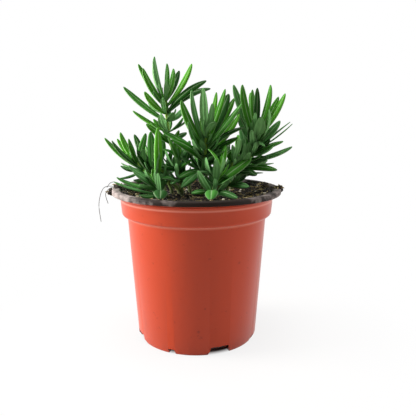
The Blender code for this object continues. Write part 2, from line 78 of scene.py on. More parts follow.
class Tone(Enum):
    """How fresh a leaf is, and how far painted shade darkens it: (yellowness, greyness, darkness)."""

    FRESH = (0.9, 0.0, 0.0)
    BRIGHT = (0.45, 0.0, 0.05)
    MID = (0.15, 0.15, 0.15)
    GREY = (0.0, 0.75, 0.0)
    # Painted shade: a leaf darkened toward a near-black green, the way leaves in shade low in the plant look.
    DARK = (0.0, 0.1, 0.7)


@dataclass(frozen=True)
class Leaf:
    """One leaf: its tip, greatest width, arch as a share of its length, roll in degrees and tone."""

    tip: tuple[float, float, float]
    width: float
    arch: float
    roll: float
    tone: Tone | None = None


@dataclass(frozen=True)
class Whorl:
    """The leaves that leave a stem at one node."""

    at: tuple[float, float, float]
    leaves: list[Leaf]


@dataclass(frozen=True)
class Shoot:
    """A stem from its root collar up through its nodes, listed from the top whorl down."""

    root: tuple[float, float, float]
    whorls: list[Whorl]


SHOOTS: dict[str, Shoot] = {
    "tall": Shoot((-5, 8, 104), [
        Whorl((-22.5, 9, 170), [
            Leaf((-30, 15, 201), 5.5, -0.05, 0),
            Leaf((-32, 24, 195), 3.5, -0.05, 0),
            Leaf((-21, 12, 196), 3.5, -0.04, 0),
            Leaf((-17, 20, 193), 4.5, -0.05, 0),
            Leaf((-13, 26, 192), 4.5, -0.05, 20),
        ]),
        Whorl((-22, 9, 166.5), [
            Leaf((-37, 3, 192), 5, -0.06, -70),
            Leaf((-42, 17, 196), 4, -0.05, -50),
            Leaf((-3, 2, 195), 4.5, -0.05, 65),
        ]),
        Whorl((-22, 8.5, 161.5), [
            Leaf((-36, 0, 176), 4.5, -0.05, -75),
            Leaf((7, 10, 184), 5, 0.12, 50),
            Leaf((10, 22, 179), 6, 0.15, 30),
        ]),
        Whorl((-21, 8, 156), [
            Leaf((-53, 16, 180), 4.5, -0.03, -40),
            Leaf((-16, -8, 162), 5, -0.05, 0),
            Leaf((-10, 20, 165), 4.5, -0.08, 20),
        ]),
        Whorl((-20.5, 8, 148.5), [
            Leaf((-24, -9, 160), 5.5, -0.05, -20),
            Leaf((-47, 18, 163), 3.5, -0.03, -25),
            Leaf((-6, 4, 157), 3, -0.03, 0),
            Leaf((-32, 20, 157), 4, -0.04, -20),
        ]),
        Whorl((-19.5, 8, 141), [
            Leaf((-35, -3, 154), 5.5, 0.04, -55),
            Leaf((-8, 22, 147), 5, 0.05, 20),
        ]),
    ]),
    "left": Shoot((-12, 2, 104), [
        Whorl((-42.5, 0, 126.5), [
            Leaf((-54, 3, 148), 4.5, -0.06, -30),
            Leaf((-47, -6, 144), 6.5, 0.03, -60),
            Leaf((-37, 12, 147), 4, -0.03, 30),
        ]),
        Whorl((-39, 0, 122), [
            Leaf((-66, 6, 144), 4, -0.06, -40),
            Leaf((-58, -10, 143), 4.5, -0.05, -40),
            Leaf((-58, 12, 143), 4, -0.05, -30),
        ]),
        Whorl((-32.5, 1, 118.5), [
            Leaf((-46, 15, 146), 4.5, -0.03, -40),
            Leaf((-41, -8, 136), 6, 0.03, -60),
            Leaf((-34, 16, 148), 5.5, -0.04, 0),
        ]),
    ]),
    "left_front": Shoot((-20, -14, 104), [
        Whorl((-27.5, -14, 114.5), [
            Leaf((-26, -12, 152), 5, 0.12, 40),
            Leaf((-24, -22, 136), 5, 0.05, 60),
            Leaf((-47, -10, 126), 4, -0.04, -40),
        ]),
        Whorl((-26.5, -15, 111), [
            Leaf((-42, -22, 123), 4.5, 0.03, -40),
            Leaf((-14, -22, 117), 5, 0.35, 0),
            Leaf((-55, -13, 118), 4, -0.05, -20),
        ]),
        Whorl((-25, -16, 107.5), [
            Leaf((-56, -20, 116), 3.5, -0.03, -20),
            # This low leaf by the rim gets the shaded tone, which is painted shade.
            Leaf((-22, -46, 108.6), 8, 0.13, 0, Tone.DARK),
        ]),
    ]),
    "middle": Shoot((-10, -6, 104), [
        Whorl((-13, -4, 129), [
            Leaf((-19, -14, 145), 8.5, 0.08, -60),
            Leaf((-23, -10, 137), 5, 0.2, -30),
            Leaf((-5, 6, 142), 5, -0.05, 20),
            Leaf((-15, 10, 144), 5, -0.05, 0),
        ]),
        Whorl((-12.5, -5, 122), [
            Leaf((-25, -14, 126), 5, 0.1, -40),
            Leaf((-3, -12, 130), 5, 0.1, 30),
        ]),
        Whorl((-11.5, -6, 114), [
            Leaf((-28, -4, 119), 5, 0.1, -30),
            Leaf((-16, -26, 115), 5, 0.12, 0),
        ]),
    ]),
    "inner_right": Shoot((21, -5, 104), [
        Whorl((25, -4, 128), [
            Leaf((29, -16, 145), 4.5, -0.05, 20),
            Leaf((19, 5, 146), 4.5, -0.05, 0),
        ]),
        Whorl((24, -4.5, 120), [
            Leaf((38, -14, 122), 5, 0.08, 40),
            Leaf((24, 12, 130), 5, 0.05, 0),
        ]),
        Whorl((22.5, -5, 112), [
            Leaf((36, -18, 112), 5, 0.1, 40),
            Leaf((14, 8, 116), 5, 0.08, 0),
        ]),
    ]),
    "inner_left": Shoot((-18, 5, 104), [
        Whorl((-27, 6.5, 126), [
            Leaf((-28, -3, 143), 4.5, -0.05, -20),
            Leaf((-25, 17, 142), 4.5, -0.05, 0),
        ]),
        Whorl((-24, 6.5, 117), [
            Leaf((-28, 18, 130), 4.5, 0.04, 0),
            Leaf((-14, 12, 128), 4.5, 0.06, 0),
        ]),
    ]),
    "centre": Shoot((4, -4, 104), [
        Whorl((6.5, -6, 145), [
            Leaf((5, -15, 178), 5, -0.03, 0),
            Leaf((14, 6, 176), 3.5, -0.04, 0),
            Leaf((11, -11, 168), 4.5, -0.03, 0),
            Leaf((13, -18, 156), 5, 0.15, 0),
        ]),
        Whorl((6.5, -6, 141), [
            Leaf((-3, -9, 177), 4.5, -0.05, -70),
            Leaf((20, 0, 178), 4.5, -0.02, 30),
            Leaf((23, 12, 175), 7, -0.03, 40),
        ]),
        Whorl((6.5, -6, 137), [
            Leaf((-10, -10, 170), 6, -0.03, -60),
            Leaf((27, 11, 172), 5, -0.04, 40),
            Leaf((31, -12, 168), 5, 0.02, 50),
        ]),
        Whorl((6, -6, 133), [
            Leaf((-5, -16, 156), 6, -0.04, -50),
            Leaf((30, -3, 161), 5, -0.06, 40),
            Leaf((33, -8, 152), 5, 0.15, 30),
        ]),
        Whorl((5.5, -5, 129), [
            Leaf((-24, 0, 149), 5.5, 0.1, -40),
            Leaf((-16, -14, 144), 6, 0.12, -60),
            Leaf((29, -8, 145), 5, 0.1, 40),
        ]),
        Whorl((4.5, -4, 122.5), [
            Leaf((-12, -16, 118), 5, 0.12, -40),
            Leaf((24, -14, 137), 5, 0.1, 40),
            Leaf((-10, -20, 112), 5, 0.1, -40),
        ]),
    ]),
    "right": Shoot((15, 8, 104), [
        Whorl((43, 5, 147.5), [
            Leaf((40, 13, 178), 4, -0.03, 0),
            Leaf((43, 8, 179), 4, -0.03, 0),
            Leaf((52, 6, 181), 6, -0.04, 30),
            Leaf((39, 18, 176), 4.5, 0, 0),
        ]),
        Whorl((42.5, 5, 144), [
            Leaf((32, 3, 181), 5, -0.05, -70),
            Leaf((44, -10, 159), 7, -0.06, 0),
            Leaf((62, 2, 175), 5, -0.05, 60),
            Leaf((26, 6, 181), 5, -0.04, -65),
        ]),
        Whorl((41.5, 5, 139.5), [
            Leaf((59, 14, 173), 5, -0.03, 40),
            Leaf((50, -4, 164), 6, -0.12, 30),
            Leaf((29, 7, 163), 5, -0.03, -65),
        ]),
        Whorl((40.5, 4, 135), [
            Leaf((60, 10, 156), 5.5, 0.02, 50),
            Leaf((68, 4, 154), 3, -0.03, 0),
            Leaf((47, -10, 139), 4, 0.3, 0),
        ]),
        Whorl((39, 3, 132), [
            Leaf((68, 14, 155), 3, 0.03, 0),
            Leaf((61, -2, 142), 4.5, 0.08, 40),
            Leaf((32, 14, 152), 5, -0.04, 0),
        ]),
        Whorl((36, 2, 128.5), [
            Leaf((68, 2, 138), 4.5, -0.05, 30),
            Leaf((50, -8, 131), 5, 0.03, 50),
            Leaf((29, 4, 143), 5, -0.04, -30),
        ]),
        Whorl((31.5, 1, 123.5), [
            Leaf((57, -4, 122), 5, 0.12, 50),
            Leaf((42, -10, 119), 5, 0.06, 40),
        ]),
    ]),
    "front": Shoot((11, -19, 104), [
        Whorl((14, -21, 118), [
            Leaf((18, -26, 133), 4.5, -0.05, 20),
            Leaf((20, -14, 140), 4.5, -0.03, 0),
            Leaf((8, -18, 138), 4, 0.25, 0),
        ]),
        Whorl((13, -21, 114.5), [
            Leaf((7, -27, 133), 4.5, -0.03, -20),
            Leaf((0, -28, 123), 4.5, 0.3, -20),
            Leaf((38, -10, 131), 6, 0.04, 40),
        ]),
        Whorl((11.5, -21, 109), [
            Leaf((27, -42, 108.4), 5, 0.1, 30),
            Leaf((10, -48, 108.6), 7.5, 0.14, 0, Tone.MID),
            Leaf((-3, -26, 109), 4, 0.1, -30),
        ]),
    ]),
    "back": Shoot((6, 22, 104), [
        Whorl((8, 30, 130), [
            Leaf((14, 50, 148), 5, -0.05, 0),
            Leaf((-4, 44, 148), 5, -0.05, 0),
            Leaf((22, 36, 148), 4.5, -0.05, 0),
            Leaf((4, 33, 152), 4, -0.03, 0),
        ]),
        Whorl((7.5, 28, 123), [
            Leaf((-12, 44, 134), 5, 0.05, 0),
            Leaf((22, 50, 134), 5, 0.05, 0),
        ]),
        Whorl((7, 26, 115), [
            Leaf((-8, 54, 120), 5, 0.08, 0),
            Leaf((16, 56, 117), 5, 0.08, 0),
        ]),
    ]),
    "back_left": Shoot((-24, 18, 104), [
        Whorl((-34, 26, 124), [
            Leaf((-44, 42, 139), 5, -0.05, 0),
            Leaf((-30, 46, 144), 5, -0.05, 0),
            Leaf((-40, 24, 143), 4, -0.03, 0),
        ]),
        Whorl((-32, 24, 117), [
            Leaf((-54, 34, 129), 5, 0.04, 0),
            Leaf((-30, 54, 126), 5, 0.05, 0),
        ]),
        Whorl((-29, 22, 110.5), [
            Leaf((-48, 42, 114), 5, 0.08, 0),
            Leaf((-20, 52, 114), 5, 0.08, 0),
        ]),
    ]),
    "back_right": Shoot((26, 24, 104), [
        Whorl((34, 30, 126), [
            Leaf((48, 42, 144), 5, -0.05, 0),
            Leaf((32, 50, 144), 5, -0.05, 0),
            Leaf((40, 26, 148), 4, -0.03, 0),
        ]),
        Whorl((32.5, 28, 118.5), [
            Leaf((54, 36, 127), 5, 0.04, 0),
            Leaf((42, 54, 124), 5, 0.05, 0),
        ]),
        Whorl((30, 26, 111.5), [
            Leaf((52, 44, 114), 5, 0.08, 0),
            Leaf((30, 57, 113), 5, 0.08, 0),
        ]),
    ]),
}


def linear(code: str) -> tuple[float, float, float, float]:
    """Turn an sRGB hex colour into a linear RGBA colour.

    Args:
        code: Six hex digits after a hash sign.

    Returns:
        The colour that a shader socket takes.
    """
    channels = [int(code[index:index + 2], 16) / 255.0 for index in (1, 3, 5)]
    values = [value / 12.92 if value <= 0.04045 else ((value + 0.055) / 1.055) ** 2.4 for value in channels]
    return (values[0], values[1], values[2], 1.0)


def connect(tree: bpy.types.NodeTree, node: bpy.types.Node, inputs: Inputs) -> None:
    """Give a node its values and its links.

    Args:
        tree: The node tree.
        node: The node.
        inputs: For each input, by name or index, a value, a socket, or a node for its first live output.
    """
    for key, value in inputs.items():
        if isinstance(value, bpy.types.Node):
            value = next(socket for socket in value.outputs if socket.enabled)
        if isinstance(value, bpy.types.NodeSocket):
            tree.links.new(value, node.inputs[key])
        else:
            node.inputs[key].default_value = value


def add_node(tree: bpy.types.NodeTree, kind: str, settings: dict | None = None,
             inputs: Inputs | None = None) -> bpy.types.Node:
    """Add a node to a tree with its settings, its values and its links.

    Args:
        tree: The node tree.
        kind: The node's type name.
        settings: Properties of the node.
        inputs: What its inputs get, as connect takes them.

    Returns:
        The new node.
    """
    node = tree.nodes.new(kind)
    for key, value in (settings or {}).items():
        setattr(node, key, value)
    connect(tree, node, inputs or {})
    return node


def lay_over(tree: bpy.types.NodeTree, under: object, code: str, mask: object,
             amount: float) -> bpy.types.Node:
    """Lay a colour over a skin where a mask says so.

    Args:
        tree: The material's tree.
        under: The skin's colour, socket or node.
        code: The sRGB hex colour on top.
        mask: The socket or node that says where.
        amount: How much of the colour full mask gives.

    Returns:
        The node of the new skin.
    """
    share = add_node(tree, "ShaderNodeMath", MULTIPLY, {0: mask, 1: amount})
    return add_node(tree, "ShaderNodeMix", MIX, {0: share, 6: under, 7: linear(code)})


@dataclass(frozen=True, kw_only=True)
class Finish:
    """A material around one Principled shader, with fractal patterns of real size and a fine relief.

    A pattern is (size of its bits in millimetres, detail), and the last one is the relief's height.
    The relief is (strength, depth in millimetres).
    """

    name: str
    patterns: tuple[Point, ...]
    relief: Point

    def build(self) -> bpy.types.Material:
        """Build the material.

        Returns:
            The finished material.
        """
        material = bpy.data.materials.new(self.name)
        material.use_nodes = True
        tree = material.node_tree
        place = add_node(tree, "ShaderNodeTexCoord").outputs["Object"]
        patterns = [
            add_node(tree, "ShaderNodeTexNoise", inputs={
                "Vector": place, "Scale": 1.0 / (size * MM), "Detail": detail})
            for size, detail in self.patterns
        ]
        bump = add_node(tree, "ShaderNodeBump", inputs={
            "Strength": self.relief[0], "Distance": self.relief[1] * MM, "Height": patterns[-1]})
        shader = tree.nodes["Principled BSDF"]
        connect(tree, shader, {"Normal": bump} | self.skin(tree, place, patterns))
        return material

    def skin(self, tree: bpy.types.NodeTree, place: bpy.types.NodeSocket,
             patterns: list[bpy.types.Node]) -> Inputs:
        """Work out the shader's inputs.

        Args:
            tree: The material's tree.
            place: The point on the object.
            patterns: The finish's patterns.

        Returns:
            What the shader's inputs get.
        """
        raise NotImplementedError


@dataclass(frozen=True, kw_only=True)
class MouldedPolypropylene(Finish):
    """Thermoformed sheet: an even satin skin with a film of dust, and two pale lines of painted highlight,
    under the rim and along the ledge.
    """

    name: str = "terracotta_polypropylene"
    patterns: tuple[Point, ...] = ((45.45, 4.0), (3.846, 3.0), (1.111, 2.0))
    relief: Point = (0.12, 0.1)
    colour: str = "#A9391B"
    cloud: str = "#B24223"
    cloud_share: float = 0.25
    dust: str = "#4E1C10"
    dust_share: float = 0.5
    dust_contrast: float = 9.0
    dust_start: float = 0.6667
    # Painted highlights: two pale bands by height stand in for the top light's gloss on the rounded edges
    # under the rim and at the ledge.
    painted_highlight: str = "#DC9581"
    painted_highlight_share: float = 0.5
    painted_highlight_lines: tuple[Point, ...] = ((101.8, 1.0), (90.1, 1.5))
    roughness: float = 0.24
    roughness_swing: float = 0.12
    ior: float = 1.49
    gloss: float = 0.24

    def skin(self, tree: bpy.types.NodeTree, place: bpy.types.NodeSocket,
             patterns: list[bpy.types.Node]) -> Inputs:
        """Cloud and dust the colour, then paint two pale highlight lines on it; see Finish. A highlight line
        is (height, half its width).
        """
        clouds, specks = patterns[:2]
        skin = lay_over(tree, linear(self.colour), self.cloud, clouds, self.cloud_share)
        dust = add_node(tree, "ShaderNodeMath", MULTIPLY_ADD | CLAMP, {
            0: specks, 1: self.dust_contrast, 2: -self.dust_contrast * self.dust_start})
        skin = lay_over(tree, skin, self.dust, dust, self.dust_share)
        level = add_node(tree, "ShaderNodeSeparateXYZ", inputs={0: place}).outputs[2]
        # Painted highlight: each pale band is laid around its height on the pot's colour.
        for height, half in self.painted_highlight_lines:
            away = add_node(tree, "ShaderNodeMath", SUBTRACT, {0: level, 1: height * MM})
            away = add_node(tree, "ShaderNodeMath", ABSOLUTE, {0: away})
            near = add_node(tree, "ShaderNodeMath", MULTIPLY_ADD | CLAMP, {
                0: away, 1: -1.0 / (half * MM), 2: 1.0})
            skin = lay_over(tree, skin, self.painted_highlight, near, self.painted_highlight_share)
        rough = add_node(tree, "ShaderNodeMath", MULTIPLY_ADD, {
            0: clouds, 1: self.roughness_swing, 2: self.roughness})
        return {"Base Color": skin, "Roughness": rough, "IOR": self.ior, "Specular IOR Level": self.gloss}


@dataclass(frozen=True, kw_only=True)
class LimedRimPolypropylene(Finish):
    """Black sheet at the rim, greyed by water scale that dried in patches, most at two ends."""

    name: str = "black_limed_polypropylene"
    patterns: tuple[Point, ...] = ((5.882, 6.0),)
    relief: Point = (0.3, 0.3)
    colour: str = "#1B110B"
    scale: str = "#A99C97"
    scale_share: float = 0.74
    cleanest_at: float = 9.0
    rise_to_ends: float = 24.0
    threshold: float = -2.0
    patchiness: float = 2.6
    roughness: float = 0.62
    scale_roughness: float = 0.35
    gloss: float = 0.15

    def skin(self, tree: bpy.types.NodeTree, place: bpy.types.NodeSocket,
             patterns: list[bpy.types.Node]) -> Inputs:
        """Grey the sheet more the farther a point is to either side; see Finish."""
        across = add_node(tree, "ShaderNodeSeparateXYZ", inputs={0: place}).outputs[0]
        far = add_node(tree, "ShaderNodeMath", SUBTRACT, {0: across, 1: self.cleanest_at * MM})
        far = add_node(tree, "ShaderNodeMath", ABSOLUTE, {0: far})
        ends = add_node(tree, "ShaderNodeMath", MULTIPLY_ADD, {
            0: far, 1: self.rise_to_ends, 2: self.threshold})
        mask = add_node(tree, "ShaderNodeMath", MULTIPLY_ADD | CLAMP, {
            0: patterns[0], 1: self.patchiness, 2: ends})
        skin = lay_over(tree, linear(self.colour), self.scale, mask, self.scale_share)
        rough = add_node(tree, "ShaderNodeMath", MULTIPLY_ADD, {
            0: mask, 1: self.scale_roughness, 2: self.roughness})
        return {"Base Color": skin, "Roughness": rough, "Specular IOR Level": self.gloss}


@dataclass(frozen=True, kw_only=True)
class FeltedLeaf(Finish):
    """Lavender leaf: green above, paler and felted below, with a pale midrib and rolled margins, and darkened
    by painted shade where its tone says so.

    The hairs of the felt are too fine to show, so its relief is drawn about ten times as coarse.
    """

    name: str = "felted_lavender_leaf"
    patterns: tuple[Point, ...] = ((4.167, 4.0), (0.4545, 2.0))
    relief: Point = (0.15, 0.1)
    fresh: str = "#559F22"
    middle: str = "#286E0E"
    # Painted shade: the near-black green that shaded leaves are darkened toward; the random mottle uses it
    # too.
    shade_and_mottle: str = "#032104"
    grey: str = "#629B5A"
    under: str = "#68995C"
    felt: str = "#B4D0A0"
    mottle_share: float = 0.35
    under_mottle_share: float = 0.6
    felt_share: float = 0.5
    rib: Point = (-14.0, 1.0)
    margin: Point = (10.0, -4.2)
    roughness: float = 0.62
    gloss: float = 0.06
    sheen: float = 0.02
    sheen_roughness: float = 0.5

    def skin(self, tree: bpy.types.NodeTree, place: bpy.types.NodeSocket,
             patterns: list[bpy.types.Node]) -> Inputs:
        """Colour the upper side by the leaf's tone, whose darkness is painted shade, and felt its midrib and
        margins; see Finish.

        The rib and the margin are (slope, start) of a ramp over the distance from the middle line.
        """
        tone = add_node(tree, "ShaderNodeAttribute", {"attribute_name": "tone"})
        freshness, greyness, darkness = add_node(
            tree, "ShaderNodeSeparateColor", inputs={0: tone.outputs["Color"]}).outputs
        side = add_node(tree, "ShaderNodeAttribute", {"attribute_name": "upper"}).outputs["Fac"]
        strip = add_node(tree, "ShaderNodeUVMap", {"uv_map": "strip"})
        across = add_node(tree, "ShaderNodeSeparateXYZ", inputs={0: strip}).outputs[0]
        mottle = patterns[0]
        skin = lay_over(tree, linear(self.middle), self.fresh, freshness, 1.0)
        # Painted shade: the tone's darkness darkens the upper side toward a near-black green.
        skin = lay_over(tree, skin, self.shade_and_mottle, darkness, 1.0)
        skin = lay_over(tree, skin, self.grey, greyness, 1.0)
        skin = lay_over(tree, skin, self.shade_and_mottle, mottle, self.mottle_share)
        off_middle = add_node(tree, "ShaderNodeMath", SUBTRACT, {0: across, 1: 0.5})
        off_middle = add_node(tree, "ShaderNodeMath", ABSOLUTE, {0: off_middle})
        for slope, start in (self.rib, self.margin):
            line = add_node(tree, "ShaderNodeMath", MULTIPLY_ADD | CLAMP, {0: off_middle, 1: slope, 2: start})
            skin = lay_over(tree, skin, self.felt, line, self.felt_share)
        below = lay_over(tree, linear(self.under), self.grey, mottle, self.under_mottle_share)
        skin = add_node(tree, "ShaderNodeMix", MIX, {0: side, 6: below, 7: skin})
        return {"Base Color": skin, "Roughness": self.roughness, "Specular IOR Level": self.gloss,
                "Sheen Weight": self.sheen, "Sheen Roughness": self.sheen_roughness}


@dataclass(frozen=True, kw_only=True)
class GreenStem(Finish):
    """Young square stem: yellow-green and softly streaked, woody brown where it leaves the soil, that brown
    darkened further as painted shade under the leaves.
    """

    name: str = "young_lavender_stem"
    patterns: tuple[Point, ...] = ((3.333, 4.0),)
    relief: Point = (0.3, 0.2)
    colour: str = "#8DB23E"
    # Woody brown of the stem's foot, made near-black as painted shade under the leaves.
    woody_brown_and_shade: str = "#2C2A16"
    woody_and_shade_fade: Point = (-50.0, 6.1)
    woody_and_shade_share: float = 0.8
    streak_share: float = 0.3
    roughness: float = 0.6

    def skin(self, tree: bpy.types.NodeTree, place: bpy.types.NodeSocket,
             patterns: list[bpy.types.Node]) -> Inputs:
        """Brown the stem's foot, darkened as painted shade; see Finish. The fade is (slope, start) of a ramp
        over the height.
        """
        height = add_node(tree, "ShaderNodeSeparateXYZ", inputs={0: place}).outputs[2]
        # Painted shade: the foot's woody brown is darkened near-black up to the lowest leaves.
        slope, start = self.woody_and_shade_fade
        low = add_node(tree, "ShaderNodeMath", MULTIPLY_ADD | CLAMP, {0: height, 1: slope, 2: start})
        low = add_node(tree, "ShaderNodeMath", MULTIPLY, {0: low, 1: self.woody_and_shade_share})
        share = add_node(tree, "ShaderNodeMath", MULTIPLY_ADD | CLAMP, {
            0: patterns[0], 1: self.streak_share, 2: low})
        skin = lay_over(tree, linear(self.colour), self.woody_brown_and_shade, share, 1.0)
        return {"Base Color": skin, "Roughness": self.roughness}


@dataclass(frozen=True, kw_only=True)
class LooseGround(Finish):
    """Peat, bark, root or perlite: dull broken bits whose colour changes from crumb to crumb."""

    stops: tuple[tuple[float, str], ...]
    relief: Point = (0.6, 0.5)
    roughness: float = 0.95

    def skin(self, tree: bpy.types.NodeTree, place: bpy.types.NodeSocket,
             patterns: list[bpy.types.Node]) -> Inputs:
        """Colour the bits through the stops, which run from low to high; see Finish."""
        colours = add_node(tree, "ShaderNodeValToRGB", inputs={0: patterns[0]})
        elements = colours.color_ramp.elements
        while len(elements) < len(self.stops):
            elements.new(0.5)
        for element, (position, code) in zip(elements, self.stops):
            element.position = position
            element.color = linear(code)
        return {"Base Color": colours, "Roughness": self.roughness}


@dataclass(frozen=True)
class Finishes:
    """Every material of the object."""

    terracotta: bpy.types.Material
    rim: bpy.types.Material
    leaf: bpy.types.Material
    stem: bpy.types.Material
    peat: bpy.types.Material
    fibre: bpy.types.Material
    perlite: bpy.types.Material
    root: bpy.types.Material


def make_finishes() -> Finishes:
    """Build every material.

    Returns:
        The finishes by their use.
    """
    return Finishes(
        terracotta=MouldedPolypropylene().build(),
        rim=LimedRimPolypropylene().build(),
        leaf=FeltedLeaf().build(),
        stem=GreenStem().build(),
        peat=LooseGround(name="sieved_peat", patterns=((2.2, 5.0),), stops=(
            (0.3, "#080604"), (0.5, "#1A130B"), (0.62, "#30251A"), (0.75, "#5E4C30"))).build(),
        fibre=LooseGround(name="coir_fibre", patterns=((3.0, 5.0),), roughness=0.85, stops=(
            (0.3, "#3C321C"), (0.5, "#8A784A"), (0.7, "#C2B384"))).build(),
        perlite=LooseGround(name="expanded_perlite", patterns=((1.2, 5.0),), roughness=0.9, stops=(
            (0.3, "#A99F86"), (0.6, "#E0D8C4"))).build(),
        root=LooseGround(name="dry_root", patterns=((4.0, 5.0),), roughness=0.8, stops=(
            (0.3, "#17120E"), (0.7, "#3E352C"))).build(),
    )


def in_scene(name: str, data: bpy.types.ID) -> bpy.types.Object:
    """Make an object and link it to the scene.

    Args:
        name: The object's name.
        data: Its mesh, light or camera.

    Returns:
        The object.
    """
    thing = bpy.data.objects.new(name, data)
    bpy.context.scene.collection.objects.link(thing)
    return thing


def mesh_from(bm: bmesh.types.BMesh, name: str, smooth: bool = False) -> bpy.types.Mesh:
    """Turn a BMesh into a mesh and free it.

    Args:
        bm: The shape.
        name: The mesh's name.
        smooth: Whether its faces point outwards anew and shade smoothly.

    Returns:
        The mesh.
    """
    if smooth:
        bmesh.ops.recalc_face_normals(bm, faces=bm.faces)
    mesh = bpy.data.meshes.new(name)
    bm.to_mesh(mesh)
    bm.free()
    if smooth:
        mesh.shade_smooth()
    return mesh


def place_piece(name: str, mesh: bpy.types.Mesh, slot: str, *nodes: str) -> None:
    """Link a finished mesh as a piece of the object.

    Args:
        name: The piece's name.
        mesh: Its mesh, already in place.
        slot: A material slot name; not used.
        nodes: The CAD nodes that it stands for.
    """
    piece = in_scene(name, mesh)
    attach(piece, "root")
    if nodes:
        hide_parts(*nodes)
    LOG.info("piece %s: %d faces", name, len(mesh.polygons))


def baked(obj: bpy.types.Object) -> bpy.types.Mesh:
    """Read an object's evaluated mesh and remove the object.

    Args:
        obj: The object with its modifiers.

    Returns:
        A plain mesh of the result.
    """
    depsgraph = bpy.context.evaluated_depsgraph_get()
    mesh = bpy.data.meshes.new_from_object(obj.evaluated_get(depsgraph))
    bpy.data.objects.remove(obj, do_unlink=True)
    return mesh


def arc(centre: Point, radius: float, start: float, end: float, count: int) -> list[Point]:
    """Points of an arc in the (radius, height) plane.

    Args:
        centre: The arc's centre.
        radius: Its radius.
        start: Its first angle in degrees.
        end: Its last angle in degrees.
        count: How many steps it has.

    Returns:
        Its points.
    """
    angles = [math.radians(start + (end - start) * index / count) for index in range(count + 1)]
    return [(centre[0] + radius * math.cos(angle), centre[1] + radius * math.sin(angle)) for angle in angles]


def turned_mesh(name: str, profile: list[Point], steps: int) -> bpy.types.Mesh:
    """Turn a (radius, height) profile around Z.

    Args:
        name: The mesh's name.
        profile: Millimetre points, from the middle of the inside to the middle of the underside.
        steps: How many sides the turned shape has.

    Returns:
        The closed mesh.
    """
    mesh = bpy.data.meshes.new(name)
    points = [(radius * MM, 0.0, height * MM) for radius, height in profile]
    mesh.from_pydata(points, [(index, index + 1) for index in range(len(points) - 1)], [])
    blank = in_scene(name, mesh)
    screw = blank.modifiers.new("turn", "SCREW")
    screw.steps = steps
    screw.render_steps = steps
    screw.use_merge_vertices = True
    screw.merge_threshold = SAME_POINT
    return baked(blank)


